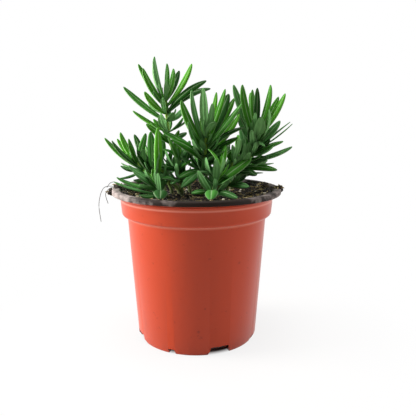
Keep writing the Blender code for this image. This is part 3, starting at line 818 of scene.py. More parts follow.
@dataclass
class Pot:
    """The thermoformed nursery pot, with its rolled rim, ledge and drain notches."""

    height: float = 109.0
    rim_radius: float = 60.0
    rim_inner_radius: float = 55.0
    rim_depth: float = 3.4
    rim_round: float = 1.3
    rim_edge_round: float = 0.7
    rim_neck: float = 0.9
    rim_cover: float = 0.3
    lip_round: float = 1.2
    collar_top_radius: float = 54.3
    collar_bottom_radius: float = 53.4
    collar_fillet: float = 1.0
    ridge_round: float = 0.45
    ridge_inset: float = 0.15
    ridge_below: float = 1.6
    ledge_height: float = 90.5
    ledge_round: float = 2.6
    groove_round: float = 0.5
    groove_below: float = 0.7
    body_top_radius: float = 49.5
    body_bottom_radius: float = 43.4
    foot_radius: float = 42.0
    foot_round: float = 3.0
    foot_width: float = 3.4
    foot_edge_round: float = 0.8
    foot_draft: float = 0.6
    floor_fillet: float = 2.0
    floor_underside: float = 1.2
    wall: float = 1.1
    steps: int = 192
    notch_count: int = 8
    first_notch_angle: float = -68.0
    wide_notch: Place = (17.0, 13.0, 6.0)
    narrow_notch: Place = (5.6, 4.8, 3.8)
    notch_reach: Point = (36.0, 48.0)
    notch_below: float = 2.0
    dark_above: float = 10.0
    sharp_angle: float = 40.0

    def body_radius(self, height: float) -> float:
        """Outer radius of the tapered body at a height."""
        share = (height - self.foot_round) / (self.ledge_height - self.foot_round)
        return self.body_bottom_radius + share * (self.body_top_radius - self.body_bottom_radius)

    def inside(self) -> list[Point]:
        """The inside's profile, from the middle of the floor up to the rim."""
        floor_top = self.floor_underside + self.wall
        fillet = self.floor_fillet
        corner = (self.body_radius(floor_top) - self.wall - fillet, floor_top + fillet)
        ledge_top = self.ledge_height + self.wall
        rise = (self.collar_bottom_radius - self.wall - self.collar_fillet, ledge_top + self.collar_fillet)
        lip = (self.rim_inner_radius + self.lip_round / 2.0, self.height - self.lip_round)
        return (
            [(0.0, floor_top)]
            + arc(corner, fillet, -90.0, 0.0, 4)
            + [(self.body_top_radius - self.wall, self.ledge_height)]
            + arc(rise, self.collar_fillet, -80.0, 0.0, 4)
            + [(self.collar_top_radius - self.wall, self.height - self.rim_depth)]
            + arc(lip, self.lip_round, 180.0, 90.0, 5)
        )

    def outside(self) -> list[Point]:
        """The outside's profile, from the rim down to the middle of the underside."""
        under = self.height - self.rim_depth
        rim_top = (self.rim_radius - self.rim_round, self.height - self.rim_round)
        rim_edge = (self.rim_radius - self.rim_edge_round, under + self.rim_edge_round)
        ridge = (self.collar_top_radius - self.ridge_inset, under - self.ridge_below)
        ledge = (self.collar_bottom_radius - self.ledge_round, self.ledge_height + self.ledge_round)
        groove = (self.body_top_radius + self.groove_round, self.ledge_height - self.groove_below)
        foot = (self.foot_radius - self.foot_edge_round, self.foot_edge_round)
        recess = self.foot_radius - self.foot_width
        return (
            arc(rim_top, self.rim_round, 90.0, 0.0, 6)
            + arc(rim_edge, self.rim_edge_round, 0.0, -90.0, 4)
            + [(self.collar_top_radius + self.rim_neck, under)]
            + arc(ridge, self.ridge_round, 60.0, -60.0, 4)
            + arc(ledge, self.ledge_round, 0.0, -90.0, 8)
            + arc(groove, self.groove_round, 110.0, 180.0, 3)
            + [(self.body_bottom_radius, self.foot_round)]
            + arc(foot, self.foot_edge_round, 0.0, -90.0, 4)
            + [(recess, 0.0), (recess - self.foot_draft, self.floor_underside), (0.0, self.floor_underside)]
        )

    def notch(self, index: int) -> bpy.types.Object:
        """Make one notch's wedge.

        Args:
            index: The notch's place around the foot.

        Returns:
            The wedge, to be cut out and removed.
        """
        bottom, top, height = self.wide_notch if index % 2 == 0 else self.narrow_notch
        inner, outer = self.notch_reach
        bm = bmesh.new()
        bmesh.ops.create_cube(bm, size=1.0)
        for vertex in bm.verts:
            at_top = vertex.co.z > 0.0
            half = (top if at_top else bottom) / 2.0
            reach = outer if vertex.co.x > 0.0 else inner
            level = height if at_top else -self.notch_below
            vertex.co = Vector((reach, math.copysign(half, vertex.co.y), level)) * MM
        turn = math.radians(self.first_notch_angle + 360.0 / self.notch_count * index)
        bmesh.ops.rotate(bm, verts=bm.verts, cent=(0.0, 0.0, 0.0), matrix=Matrix.Rotation(turn, 3, "Z"))
        return in_scene("notch", mesh_from(bm, "notch"))

    def build(self, finishes: Finishes) -> None:
        """Turn the wall, cut the notches and dress the inside and the rim apart from the outside.

        Args:
            finishes: The materials.
        """
        shell = in_scene("pot_blank", turned_mesh("pot_shell", self.inside() + self.outside(), self.steps))
        wedges = [self.notch(index) for index in range(self.notch_count)]
        for wedge in wedges:
            cut = shell.modifiers.new("notch", "BOOLEAN")
            cut.operation = "DIFFERENCE"
            cut.object = wedge
        result = baked(shell)
        for wedge in wedges:
            bpy.data.objects.remove(wedge, do_unlink=True)
        result.materials.clear()
        result.materials.append(finishes.terracotta)
        result.materials.append(finishes.rim)
        rim_from = (self.height - self.rim_depth + self.rim_cover) * MM
        for face in result.polygons:
            centre = face.center
            outward = face.normal.x * centre.x + face.normal.y * centre.y > 0.0
            inside = not outward and centre.z > self.dark_above * MM
            face.material_index = 1 if centre.z > rim_from or inside else 0
        result.shade_smooth()
        result.set_sharp_from_angle(angle=math.radians(self.sharp_angle))
        place_piece("pot_shell", result, "pot", "pot")


@dataclass(frozen=True)
class ScatterInputs:
    """The inputs of a scatter: bits to the square metre, lengths, slimness, tilt in radians and seed."""

    density: float
    length: Point
    slimness: float
    lie: float
    seed: int


@dataclass
class Scatter:
    """The Geometry Nodes tree that strews crumbs or fibres over a surface."""

    name: str
    material: bpy.types.Material
    is_fibre: bool
    fibre_sides: int = 5
    fibre_cuts: int = 3
    fibre_bow: float = 3.0
    greatest_turn: Place = (0.9, 0.9, 6.283)
    turn_seed: int = 7

    def bit(self, tree: bpy.types.NodeTree) -> bpy.types.Node:
        """Add one bit of unit size: a bowed rod or a rounded crumb.

        Args:
            tree: The scatter's tree.

        Returns:
            The node that gives its mesh.
        """
        if not self.is_fibre:
            return add_node(tree, "GeometryNodeMeshIcoSphere", inputs={"Radius": 0.5, "Subdivisions": 1})
        rod = add_node(tree, "GeometryNodeMeshCylinder", inputs={
            "Vertices": self.fibre_sides, "Side Segments": self.fibre_cuts, "Radius": 0.5, "Depth": 1.0})
        spot = add_node(tree, "GeometryNodeInputPosition")
        along = add_node(tree, "ShaderNodeSeparateXYZ", inputs={0: spot}).outputs[2]
        square = add_node(tree, "ShaderNodeMath", MULTIPLY, {0: along, 1: along})
        bow = add_node(tree, "ShaderNodeMath", MULTIPLY, {0: square, 1: self.fibre_bow})
        shift = add_node(tree, "ShaderNodeCombineXYZ", inputs={0: bow})
        return add_node(tree, "GeometryNodeSetPosition", inputs={"Geometry": rod, "Offset": shift})

    def build(self) -> bpy.types.NodeTree:
        """Build the tree.

        Returns:
            The tree, with inputs for density, sizes, tilt and seed.
        """
        tree = bpy.data.node_groups.new(self.name, "GeometryNodeTree")
        face = tree.interface
        face.new_socket("Geometry", in_out="INPUT", socket_type="NodeSocketGeometry")
        for socket in ("Density", "Shortest", "Longest", "Slimness", "Lie"):
            face.new_socket(socket, in_out="INPUT", socket_type="NodeSocketFloat")
        face.new_socket("Seed", in_out="INPUT", socket_type="NodeSocketInt")
        face.new_socket("Geometry", in_out="OUTPUT", socket_type="NodeSocketGeometry")
        given = add_node(tree, "NodeGroupInput").outputs
        points = add_node(tree, "GeometryNodeDistributePointsOnFaces", inputs={
            "Mesh": given["Geometry"], "Density": given["Density"], "Seed": given["Seed"]})
        size = add_node(tree, "FunctionNodeRandomValue", {"data_type": "FLOAT"}, {
            2: given["Shortest"], 3: given["Longest"], "Seed": given["Seed"]})
        slim = add_node(tree, "ShaderNodeMath", MULTIPLY, {0: size, 1: given["Slimness"]})
        scale = add_node(tree, "ShaderNodeCombineXYZ", inputs={0: slim, 1: slim, 2: size})
        turn = add_node(tree, "FunctionNodeRandomValue", {"data_type": "FLOAT_VECTOR"}, {
            0: (0.0, 0.0, 0.0), 1: self.greatest_turn, "Seed": self.turn_seed})
        tilt = add_node(tree, "ShaderNodeCombineXYZ", inputs={0: given["Lie"]})
        rotation = add_node(tree, "ShaderNodeVectorMath", ADD, {0: turn, 1: tilt})
        strewn = add_node(tree, "GeometryNodeInstanceOnPoints", inputs={
            "Points": points, "Instance": self.bit(tree), "Rotation": rotation, "Scale": scale})
        whole = add_node(tree, "GeometryNodeRealizeInstances", inputs={0: strewn})
        dressed = add_node(tree, "GeometryNodeSetMaterial", inputs={0: whole, "Material": self.material})
        add_node(tree, "NodeGroupOutput", inputs={0: dressed})
        return tree


def strew(name: str, ground: bpy.types.Mesh, tree: bpy.types.NodeTree,
          sizes: ScatterInputs) -> bpy.types.Mesh:
    """Run a scatter tree over a ground mesh.

    Args:
        name: The result's name.
        ground: The surface that carries the bits.
        tree: The scatter tree.
        sizes: Its inputs.

    Returns:
        A plain mesh of the bits.
    """
    blank = in_scene(name, ground.copy())
    modifier = blank.modifiers.new("strew", "NODES")
    modifier.node_group = tree
    values = {"Density": sizes.density, "Shortest": sizes.length[0] * MM, "Longest": sizes.length[1] * MM,
              "Slimness": sizes.slimness, "Lie": sizes.lie, "Seed": sizes.seed}
    for item in tree.interface.items_tree:
        if item.in_out == "INPUT" and item.name in values:
            modifier[item.identifier] = values[item.name]
    return baked(blank)


@dataclass
class Soil:
    """The potting soil: a rough filled plug, strewn with crumbs, coir fibres and perlite.

    A swell of the surface is (size, height, layer of the noise), a spill is (place, size).
    """

    level: float = 103.6
    edge_rise: float = 3.9
    edge_power: float = 0.8
    edge_calm: float = 0.55
    flat_radius: float = 40.0
    radius: float = 52.7
    swells: tuple[Place, ...] = ((14.0, 1.3, 3.1), (3.2, 0.8, 9.7))
    flank: tuple[Point, ...] = (
        (52.2, 103.0), (51.7, 93.2), (51.2, 92.1), (47.9, 91.0), (41.9, 5.7), (38.7, 2.7))
    rings: int = 46
    sides: int = 160
    bare_edge: float = 1.2
    top_from: float = 100.0
    crumbs: ScatterInputs = ScatterInputs(420000.0, (0.7, 2.3), 0.8, 0.0, 3)
    fibres: ScatterInputs = ScatterInputs(95000.0, (2.5, 8.5), 0.09, 1.2, 11)
    grit: ScatterInputs = ScatterInputs(5200.0, (1.3, 3.4), 0.8, 0.0, 23)
    spills: tuple[tuple[Place, float], ...] = (
        ((-60.3, -4.0, 106.2), 2.4), ((-56.5, 0.0, 109.0), 2.6), ((-51.0, 12.0, 108.2), 3.2),
        ((-48.0, -22.0, 107.6), 2.6), ((58.6, -3.0, 108.8), 2.4), ((50.0, 16.0, 108.2), 2.8),
    )
    spill_shape: Place = (1.0, 1.2, 0.8)
    spill_swell: Point = (0.35, 2.1)

    def surface_height(self, x: float, y: float) -> float:
        """Height of the rough surface over a point.

        Args:
            x: Millimetres to the right.
            y: Millimetres to the back.

        Returns:
            The height in millimetres.
        """
        edge = max(0.0, (math.hypot(x, y) - self.flat_radius) / (self.radius - self.flat_radius))
        rough = sum(noise.noise(Vector((x / size, y / size, layer))) * height
                    for size, height, layer in self.swells)
        return self.level + self.edge_rise * edge ** self.edge_power + rough * (1.0 - self.edge_calm * edge)

    def plug(self) -> bpy.types.Mesh:
        """Build the closed plug.

        Returns:
            A closed mesh whose top is rough.
        """
        bm = bmesh.new()
        centre = bm.verts.new(Vector((0.0, 0.0, self.surface_height(0.0, 0.0))) * MM)
        top = [(self.radius * ring / self.rings, None) for ring in range(1, self.rings + 1)]
        rows = []
        for radius, height in top + list(self.flank):
            row = []
            for side in range(self.sides):
                angle = FULL_TURN * side / self.sides
                x = radius * math.cos(angle)
                y = radius * math.sin(angle)
                z = self.surface_height(x, y) if height is None else height
                row.append(bm.verts.new(Vector((x, y, z)) * MM))
            rows.append(row)
        for side in range(self.sides):
            after = (side + 1) % self.sides
            bm.faces.new((centre, rows[0][side], rows[0][after]))
            for inner, outer in zip(rows, rows[1:]):
                bm.faces.new((inner[side], outer[side], outer[after], inner[after]))
        bm.faces.new(list(reversed(rows[-1])))
        return mesh_from(bm, "soil_plug", True)

    def top_only(self, plug: bpy.types.Mesh) -> bpy.types.Mesh:
        """Copy the plug's upper faces.

        Args:
            plug: The closed plug.

        Returns:
            An open mesh that carries the strewn bits.
        """
        bm = bmesh.new()
        bm.from_mesh(plug)
        reach = (self.radius - self.bare_edge) * MM
        low = []
        for face in bm.faces:
            middle = face.calc_center_median()
            if middle.z < self.top_from * MM or middle.xy.length > reach:
                low.append(face)
        bmesh.ops.delete(bm, geom=low, context="FACES")
        return mesh_from(bm, "soil_top")

    def clumps(self) -> bpy.types.Mesh:
        """Soil that was spilt on the rim when the plant was potted.

        Returns:
            A few lumps in one mesh.
        """
        swell_height, swell_scale = self.spill_swell
        bm = bmesh.new()
        for spot, size in self.spills:
            middle = Vector(spot)
            lump = bmesh.ops.create_icosphere(bm, subdivisions=3, radius=1.0)["verts"]
            for vertex in lump:
                swell = 1.0 + swell_height * noise.noise(vertex.co * swell_scale + middle)
                stretched = Vector(along * size * share for along, share in zip(vertex.co, self.spill_shape))
                vertex.co = (middle + stretched * swell) * MM
        mesh = mesh_from(bm, "rim_clumps")
        mesh.shade_smooth()
        return mesh

    def build(self, finishes: Finishes) -> None:
        """Build the plug and strew it.

        Args:
            finishes: The materials.
        """
        plug = self.plug()
        plug.materials.append(finishes.peat)
        top = self.top_only(plug)
        place_piece("soil_plug", plug, "soil", "soil")
        crumbs = Scatter("crumbs", finishes.peat, False).build()
        fibres = Scatter("fibres", finishes.fibre, True).build()
        grit = Scatter("grit", finishes.perlite, False).build()
        place_piece("soil_crumbs", strew("soil_crumbs", top, crumbs, self.crumbs), "soil")
        place_piece("soil_coir_fibres", strew("soil_coir_fibres", top, fibres, self.fibres), "soil")
        place_piece("soil_perlite", strew("soil_perlite", top, grit, self.grit), "soil")
        lump = self.clumps()
        lump.materials.append(finishes.peat)
        place_piece("rim_clumps", lump, "soil")
        place_piece("rim_clump_crumbs", strew("rim_crumbs", lump, crumbs, self.crumbs), "soil")
        place_piece("rim_clump_fibres", strew("rim_fibres", lump, fibres, self.fibres), "soil")


def hermite(start: Vector, end: Vector, start_slope: Vector, end_slope: Vector, share: float) -> Vector:
    """A point of a cubic curve between two points with given slopes.

    Args:
        start: The first point.
        end: The last point.
        start_slope: The slope at the first point.
        end_slope: The slope at the last point.
        share: Where along the curve, from 0 to 1.

    Returns:
        The point.
    """
    square = share * share
    cube = square * share
    return (
        start * (2.0 * cube - 3.0 * square + 1.0)
        + start_slope * (cube - 2.0 * square + share)
        + end * (3.0 * square - 2.0 * cube)
        + end_slope * (cube - square)
    )


def smooth_path(points: list[Vector], slopes: list[Vector], cuts: int) -> list[Vector]:
    """Points along a smooth curve through given points.

    Args:
        points: The points that it goes through.
        slopes: Its slope at each.
        cuts: How many steps each span has.

    Returns:
        The curve's points.
    """
    path = []
    for index in range(len(points) - 1):
        span = (points[index], points[index + 1], slopes[index], slopes[index + 1])
        path += [hermite(*span, step / cuts) for step in range(cuts)]
    return path + [points[-1]]


def add_tube(bm: bmesh.types.BMesh, path: list[Vector], radii: list[float], sides: int,
             squareness: float) -> None:
    """Add a closed tube along a path.

    Args:
        bm: Where the tube goes.
        path: Millimetre points along its middle.
        radii: Its radius at each point.
        sides: How many sides it has.
        squareness: How far its section is from round, as a share of the radius.
    """
    rows = []
    for index, point in enumerate(path):
        ahead = path[min(index + 1, len(path) - 1)] - path[max(index - 1, 0)]
        frame = ahead.to_track_quat("Z", "Y")
        row = []
        for side in range(sides):
            angle = FULL_TURN * side / sides
            radius = radii[index] * (1.0 + squareness * math.cos(4.0 * angle))
            offset = Vector((radius * math.cos(angle), radius * math.sin(angle), 0.0))
            row.append(bm.verts.new((point + frame @ offset) * MM))
        rows.append(row)
    for lower, upper in zip(rows, rows[1:]):
        for side in range(sides):
            after = (side + 1) % sides
            bm.faces.new((lower[side], lower[after], upper[after], upper[side]))
    bm.faces.new(list(reversed(rows[0])))
    bm.faces.new(rows[-1])


@dataclass
class RootHairs:
    """Hair-thin dry roots that hang over the left end of the rim."""

    thickness: float = 0.21
    sides: int = 5
    cuts: int = 8
    strands: tuple[tuple[Place, ...], ...] = (
        ((-53.0, -3.0, 108.0), (-59.0, -4.0, 110.4), (-66.0, -5.0, 109.0), (-69.5, -5.0, 98.0),
         (-68.5, -5.0, 85.0)),
        ((-54.0, -8.0, 108.0), (-59.5, -9.0, 110.2), (-63.5, -10.0, 106.0), (-62.0, -10.0, 99.0)),
        ((-50.0, 6.0, 107.5), (-57.0, 5.0, 111.5), (-62.0, 4.0, 112.0), (-65.0, 3.0, 108.5)),
    )

    def build(self, finishes: Finishes) -> None:
        """Build the strands as one piece.

        Args:
            finishes: The materials.
        """
        bm = bmesh.new()
        for strand in self.strands:
            points = [Vector(point) for point in strand]
            around = zip([points[0]] + points, points[1:] + [points[-1]])
            slopes = [(after - before) * 0.5 for before, after in around]
            path = smooth_path(points, slopes, self.cuts)
            add_tube(bm, path, [self.thickness] * len(path), self.sides, 0.0)
        mesh = mesh_from(bm, "root_hairs", True)
        mesh.materials.append(finishes.root)
        place_piece("root_hairs", mesh, "soil")


class BladeSheet:
    """Gathers blades with their strip coordinates and tones into one mesh."""

    def __init__(self) -> None:
        """Start with no blade."""
        self.points: list[Vector] = []
        self.strip: list[Point] = []
        self.upper: list[float] = []
        self.tones: list[list[float]] = []
        self.faces: list[tuple[int, ...]] = []

    def vertex(self, point: Vector, u: float, v: float, upper: float, tone: list[float]) -> int:
        """Add a vertex.

        Args:
            point: Its place in millimetres.
            u: Its place across the blade.
            v: Its place along the blade.
            upper: 1 on the upper side, 0 on the lower.
            tone: Yellowness, greyness and darkness.

        Returns:
            Its index.
        """
        self.points.append(point * MM)
        self.strip.append((u, v))
        self.upper.append(upper)
        self.tones.append(tone)
        return len(self.points) - 1

    def to_mesh(self, name: str, material: bpy.types.Material) -> bpy.types.Mesh:
        """Make the mesh with its attributes.

        Args:
            name: The mesh's name.
            material: Its material.

        Returns:
            The mesh.
        """
        mesh = bpy.data.meshes.new(name)
        mesh.from_pydata([tuple(point) for point in self.points], [], self.faces)
        layer = mesh.uv_layers.new(name="strip")
        for loop in mesh.loops:
            layer.data[loop.index].uv = self.strip[loop.vertex_index]
        upper = mesh.attributes.new("upper", "FLOAT", "POINT")
        tone = mesh.attributes.new("tone", "FLOAT_COLOR", "POINT")
        for index, value in enumerate(self.upper):
            upper.data[index].value = value
            tone.data[index].color = (*self.tones[index], 1.0)
        bm = bmesh.new()
        bm.from_mesh(mesh)
        bmesh.ops.recalc_face_normals(bm, faces=bm.faces)
        bm.to_mesh(mesh)
        bm.free()
        mesh.materials.append(material)
        mesh.shade_smooth()
        return mesh


@dataclass(frozen=True)
class YoungGrowth:
    """How many young leaves a node has, with ranges in degrees and millimetres."""

    count: int
    lean: Point
    length: Point
    width: Point
    tones: tuple[Tone, ...]


@dataclass
class Greenery:
    """The stems and leaves: how each shoot's tube and blades are shaped.

    The groove and the ridge are (depth, spread) as shares of half the width. A tone chance is the tone
    with its limit for leaves near the soil and what the limit gains for the highest ones.
    """

    root_depth: float = 8.0
    bottom_radius: float = 1.3
    top_radius: float = 0.85
    span_cuts: int = 6
    stem_sides: int = 12
    stem_squareness: float = 0.08
    stations: int = 20
    station_power: float = 1.5
    columns: int = 10
    base_share: float = 0.34
    widest_at: float = 0.56
    tip_bluntness: float = 1.9
    fullness: float = 1.2
    half_thickness: float = 0.42
    tip_thinning: float = 0.4
    margin_roll: float = 0.32
    groove: Point = (0.16, 0.16)
    ridge: Point = (0.14, 0.18)
    greatest_twist: float = 14.0
    greatest_wave: float = 0.012
    tone_spread: float = 0.1
    low_tip: float = 115.0
    tip_range: float = 70.0
    tone_chances: tuple[tuple[Tone, float, float], ...] = (
        (Tone.GREY, 0.16, 0.0), (Tone.FRESH, 0.2, 0.18), (Tone.BRIGHT, 0.3, 0.4), (Tone.MID, 0.55, 0.33))
    bud_offset: float = 0.3
    stalk_depth: float = 0.7
    stalk_drop: float = 0.4
    low_below: float = 136.0
    young_arch: float = -0.06
    young_roll: float = 50.0
    young_stray: float = 0.3
    bud_growth: YoungGrowth = YoungGrowth(
        5, (12.0, 28.0), (8.0, 15.0), (2.2, 3.4), (Tone.FRESH, Tone.BRIGHT))
    node_growth: YoungGrowth = YoungGrowth(
        4, (35.0, 60.0), (9.0, 16.0), (2.4, 3.6), (Tone.BRIGHT, Tone.MID, Tone.DARK))
    # Young leaves low on the stems mostly get the shaded tone, which is painted shade.
    low_growth: YoungGrowth = YoungGrowth(
        6, (30.0, 66.0), (13.0, 21.0), (3.2, 4.8), (Tone.MID, Tone.DARK, Tone.DARK, Tone.GREY))

    def slopes(self, shoot: Shoot) -> tuple[list[Vector], list[Vector]]:
        """The stem's points and slopes from its root up.

        Args:
            shoot: The shoot.

        Returns:
            Its points and the slope at each.
        """
        points = [Vector(shoot.root)] + [Vector(whorl.at) for whorl in reversed(shoot.whorls)]
        between = [(after - before) * 0.5 for before, after in zip(points, points[2:])]
        upright = Vector((0.0, 0.0, (points[1] - points[0]).length))
        return points, [upright] + between + [points[-1] - points[-2]]

    def stem_radius(self, share: float) -> float:
        """The stem's radius at a share of its length."""
        return self.bottom_radius + share * (self.top_radius - self.bottom_radius)

    def build_stem(self, name: str, shoot: Shoot, finishes: Finishes) -> None:
        """Build one stem, from its root end to its bud.

        Args:
            name: The shoot's name.
            shoot: The shoot.
            finishes: The materials.
        """
        points, slopes = self.slopes(shoot)
        buried = points[0] - Vector((0.0, 0.0, self.root_depth))
        path = [buried] + smooth_path(points, slopes, self.span_cuts)
        radii = [self.stem_radius(index / (len(path) - 1)) for index in range(len(path))]
        bm = bmesh.new()
        add_tube(bm, path, radii, self.stem_sides, self.stem_squareness)
        mesh = mesh_from(bm, f"{name}_stem_tube", True)
        mesh.materials.append(finishes.stem)
        place_piece(f"{name}_stem_tube", mesh, "stem", f"{name}_stem")

    def half_width(self, share: float) -> float:
        """Half the blade's width at a share of its length, as a share of its greatest half width."""
        if share < self.widest_at:
            return self.base_share + (1.0 - self.base_share) * math.sin(math.pi / 2.0 * share / self.widest_at)
        past = (share - self.widest_at) / (1.0 - self.widest_at)
        return max(0.0, 1.0 - past ** self.tip_bluntness) ** (1.0 / self.tip_bluntness)

    def section(self, half_width: float, half_thickness: float) -> list[tuple[float, float, float, float]]:
        """A blade's section with a grooved top, a ribbed underside and rolled margins.

        Args:
            half_width: Half the width here.
            half_thickness: Half the thickness here.

        Returns:
            Points (across, up, u, upper) in turn around the section.
        """
        above = [(column, 1.0) for column in range(self.columns + 1)]
        below = [(column, 0.0) for column in range(self.columns - 1, 0, -1)]
        points = []
        for column, upper in above + below:
            off = -1.0 + 2.0 * column / self.columns
            depth, spread = self.groove if upper else self.ridge
            sunk = self.margin_roll * off ** 4 + depth * math.exp(-(off / spread) ** 2)
            thick = half_thickness * math.sqrt(max(0.0, 1.0 - off * off))
            rise = thick if upper else -thick
            points.append((off * half_width, rise - sunk * half_width, (off + 1.0) / 2.0, upper))
        return points

    def tone_of(self, leaf: Leaf, chance: random.Random) -> Tone:
        """Choose a grown leaf's tone: fresher high up, now and then pale, and more often darkened by painted
        shade near the soil, where shade falls under the plant.

        Args:
            leaf: The leaf.
            chance: The seeded source of small differences.

        Returns:
            Its tone.
        """
        height = min(1.0, max(0.0, (leaf.tip[2] - self.low_tip) / self.tip_range))
        draw = chance.random()
        for tone, limit, gain in self.tone_chances:
            if draw < limit + gain * height:
                return tone
        # Painted shade: a leaf that draws past every limit gets the shaded tone, most often near the soil.
        return Tone.DARK

    def add_blade(self, sheet: BladeSheet, leaf: Leaf, base: Vector, chance: random.Random) -> None:
        """Add one leaf's closed blade to a sheet.

        Args:
            sheet: Where the blade goes.
            leaf: The leaf.
            base: Where its stalk starts, in millimetres.
            chance: The seeded source of small differences.
        """
        chord = Vector(leaf.tip) - base
        length = chord.length
        turn = chord.to_track_quat("X", "Z") @ Quaternion((1.0, 0.0, 0.0), math.radians(leaf.roll))
        twist = math.radians(chance.uniform(-self.greatest_twist, self.greatest_twist))
        wave = chance.uniform(-self.greatest_wave, self.greatest_wave) * length
        kind = leaf.tone or self.tone_of(leaf, chance)
        spread = self.tone_spread
        tone = [min(1.0, max(0.0, value + chance.uniform(-spread, spread))) for value in kind.value]
        rows = []
        for station in range(self.stations):
            share = 1.0 - (1.0 - station / self.stations) ** self.station_power
            slope = 4.0 * leaf.arch * (1.0 - 2.0 * share)
            normal = Vector((-slope, 0.0, 1.0)).normalized()
            bend = wave * math.sin(math.pi * share)
            centre = Vector((length * share, bend, 4.0 * leaf.arch * length * share * (1.0 - share)))
            half = self.fullness * leaf.width / 2.0 * self.half_width(share)
            thick = self.half_thickness * (1.0 - self.tip_thinning * share)
            spin = Quaternion((1.0, 0.0, 0.0), twist * share)
            row = []
            for across, up, u, upper in self.section(half, thick):
                offset = spin @ (Vector((0.0, across, 0.0)) + normal * up)
                row.append(sheet.vertex(base + turn @ (centre + offset), u, share, upper, tone))
            rows.append(row)
        tip = sheet.vertex(base + turn @ Vector((length, 0.0, 0.0)), 0.5, 1.0, 1.0, tone)
        for lower, upper_row in zip(rows, rows[1:]):
            for side in range(len(lower)):
                after = (side + 1) % len(lower)
                sheet.faces.append((lower[side], upper_row[side], upper_row[after], lower[after]))
        for side in range(len(rows[-1])):
            after = (side + 1) % len(rows[-1])
            sheet.faces.append((rows[-1][side], tip, rows[-1][after]))
        sheet.faces.append(tuple(rows[0]))

    def young_leaves(self, whorl: Whorl, along: Vector, chance: random.Random, is_bud: bool) -> list[Leaf]:
        """The small young leaves at a node, which are too short for nodes of their own.

        Args:
            whorl: The whorl.
            along: The stem's direction there.
            chance: The seeded source of small differences.
            is_bud: True at the top of the stem.

        Returns:
            The young leaves.
        """
        frame = along.to_track_quat("Z", "Y")
        start = chance.uniform(0.0, math.pi)
        grown = self.low_growth if whorl.at[2] < self.low_below else self.node_growth
        growth = self.bud_growth if is_bud else grown
        leaves = []
        for index in range(growth.count):
            stray = chance.uniform(-self.young_stray, self.young_stray)
            angle = start + FULL_TURN * index / growth.count + stray
            lean = math.radians(chance.uniform(*growth.lean))
            length = chance.uniform(*growth.length)
            way = Vector((math.sin(lean) * math.cos(angle), math.sin(lean) * math.sin(angle), math.cos(lean)))
            tip = Vector(whorl.at) + frame @ (way * length)
            tone = chance.choice(growth.tones)
            width = chance.uniform(*growth.width)
            roll = chance.uniform(-self.young_roll, self.young_roll)
            leaves.append(Leaf(tuple(tip), width, self.young_arch, roll, tone))
        return leaves

    def build_whorl(self, name: str, whorl: Whorl, along: Vector, radius: float, is_bud: bool,
                    finishes: Finishes) -> None:
        """Build the leaves of one node as one piece.

        Args:
            name: The CAD node's name.
            whorl: The whorl.
            along: The stem's direction there.
            radius: The stem's radius there.
            is_bud: True at the top of the stem.
            finishes: The materials.
        """
        chance = random.Random(name)
        sheet = BladeSheet()
        centre = Vector(whorl.at)
        axis = along.normalized()
        offset = self.bud_offset if is_bud else radius * self.stalk_depth
        for leaf in whorl.leaves + self.young_leaves(whorl, along, chance, is_bud):
            heading = Vector(leaf.tip) - centre
            sideways = (heading - axis * heading.dot(axis)).normalized()
            self.add_blade(sheet, leaf, centre + sideways * offset - axis * self.stalk_drop, chance)
        place_piece(f"{name}_leaves", sheet.to_mesh(f"{name}_leaves", finishes.leaf), "leaf", name)

    def build(self, finishes: Finishes) -> None:
        """Build every shoot.

        Args:
            finishes: The materials.
        """
        for name, shoot in SHOOTS.items():
            self.build_stem(name, shoot, finishes)
            points, slopes = self.slopes(shoot)
            for index, whorl in enumerate(shoot.whorls):
                level = len(points) - 1 - index
                radius = self.stem_radius(level / (len(points) - 1))
                node = f"{name}_whorl_{index + 1}"
                self.build_whorl(node, whorl, slopes[level], radius, index == 0, finishes)


@dataclass(frozen=True)
class SoftLamp:
    """A large soft lamp aimed at the plant: its place and size in metres, its power in watts."""

    name: str
    place: Place
    size: float
    power: float
    target: Place = (0.0, 0.0, 0.1)

    def build(self) -> None:
        """Add the lamp to the scene."""
        light = bpy.data.lights.new(self.name, "AREA")
        light.shape = "DISK"
        light.size = self.size
        light.energy = self.power
        lamp = in_scene(self.name, light)
        lamp.location = self.place
        aim = Vector(self.target) - Vector(self.place)
        lamp.rotation_euler = aim.to_track_quat("-Z", "Y").to_euler()


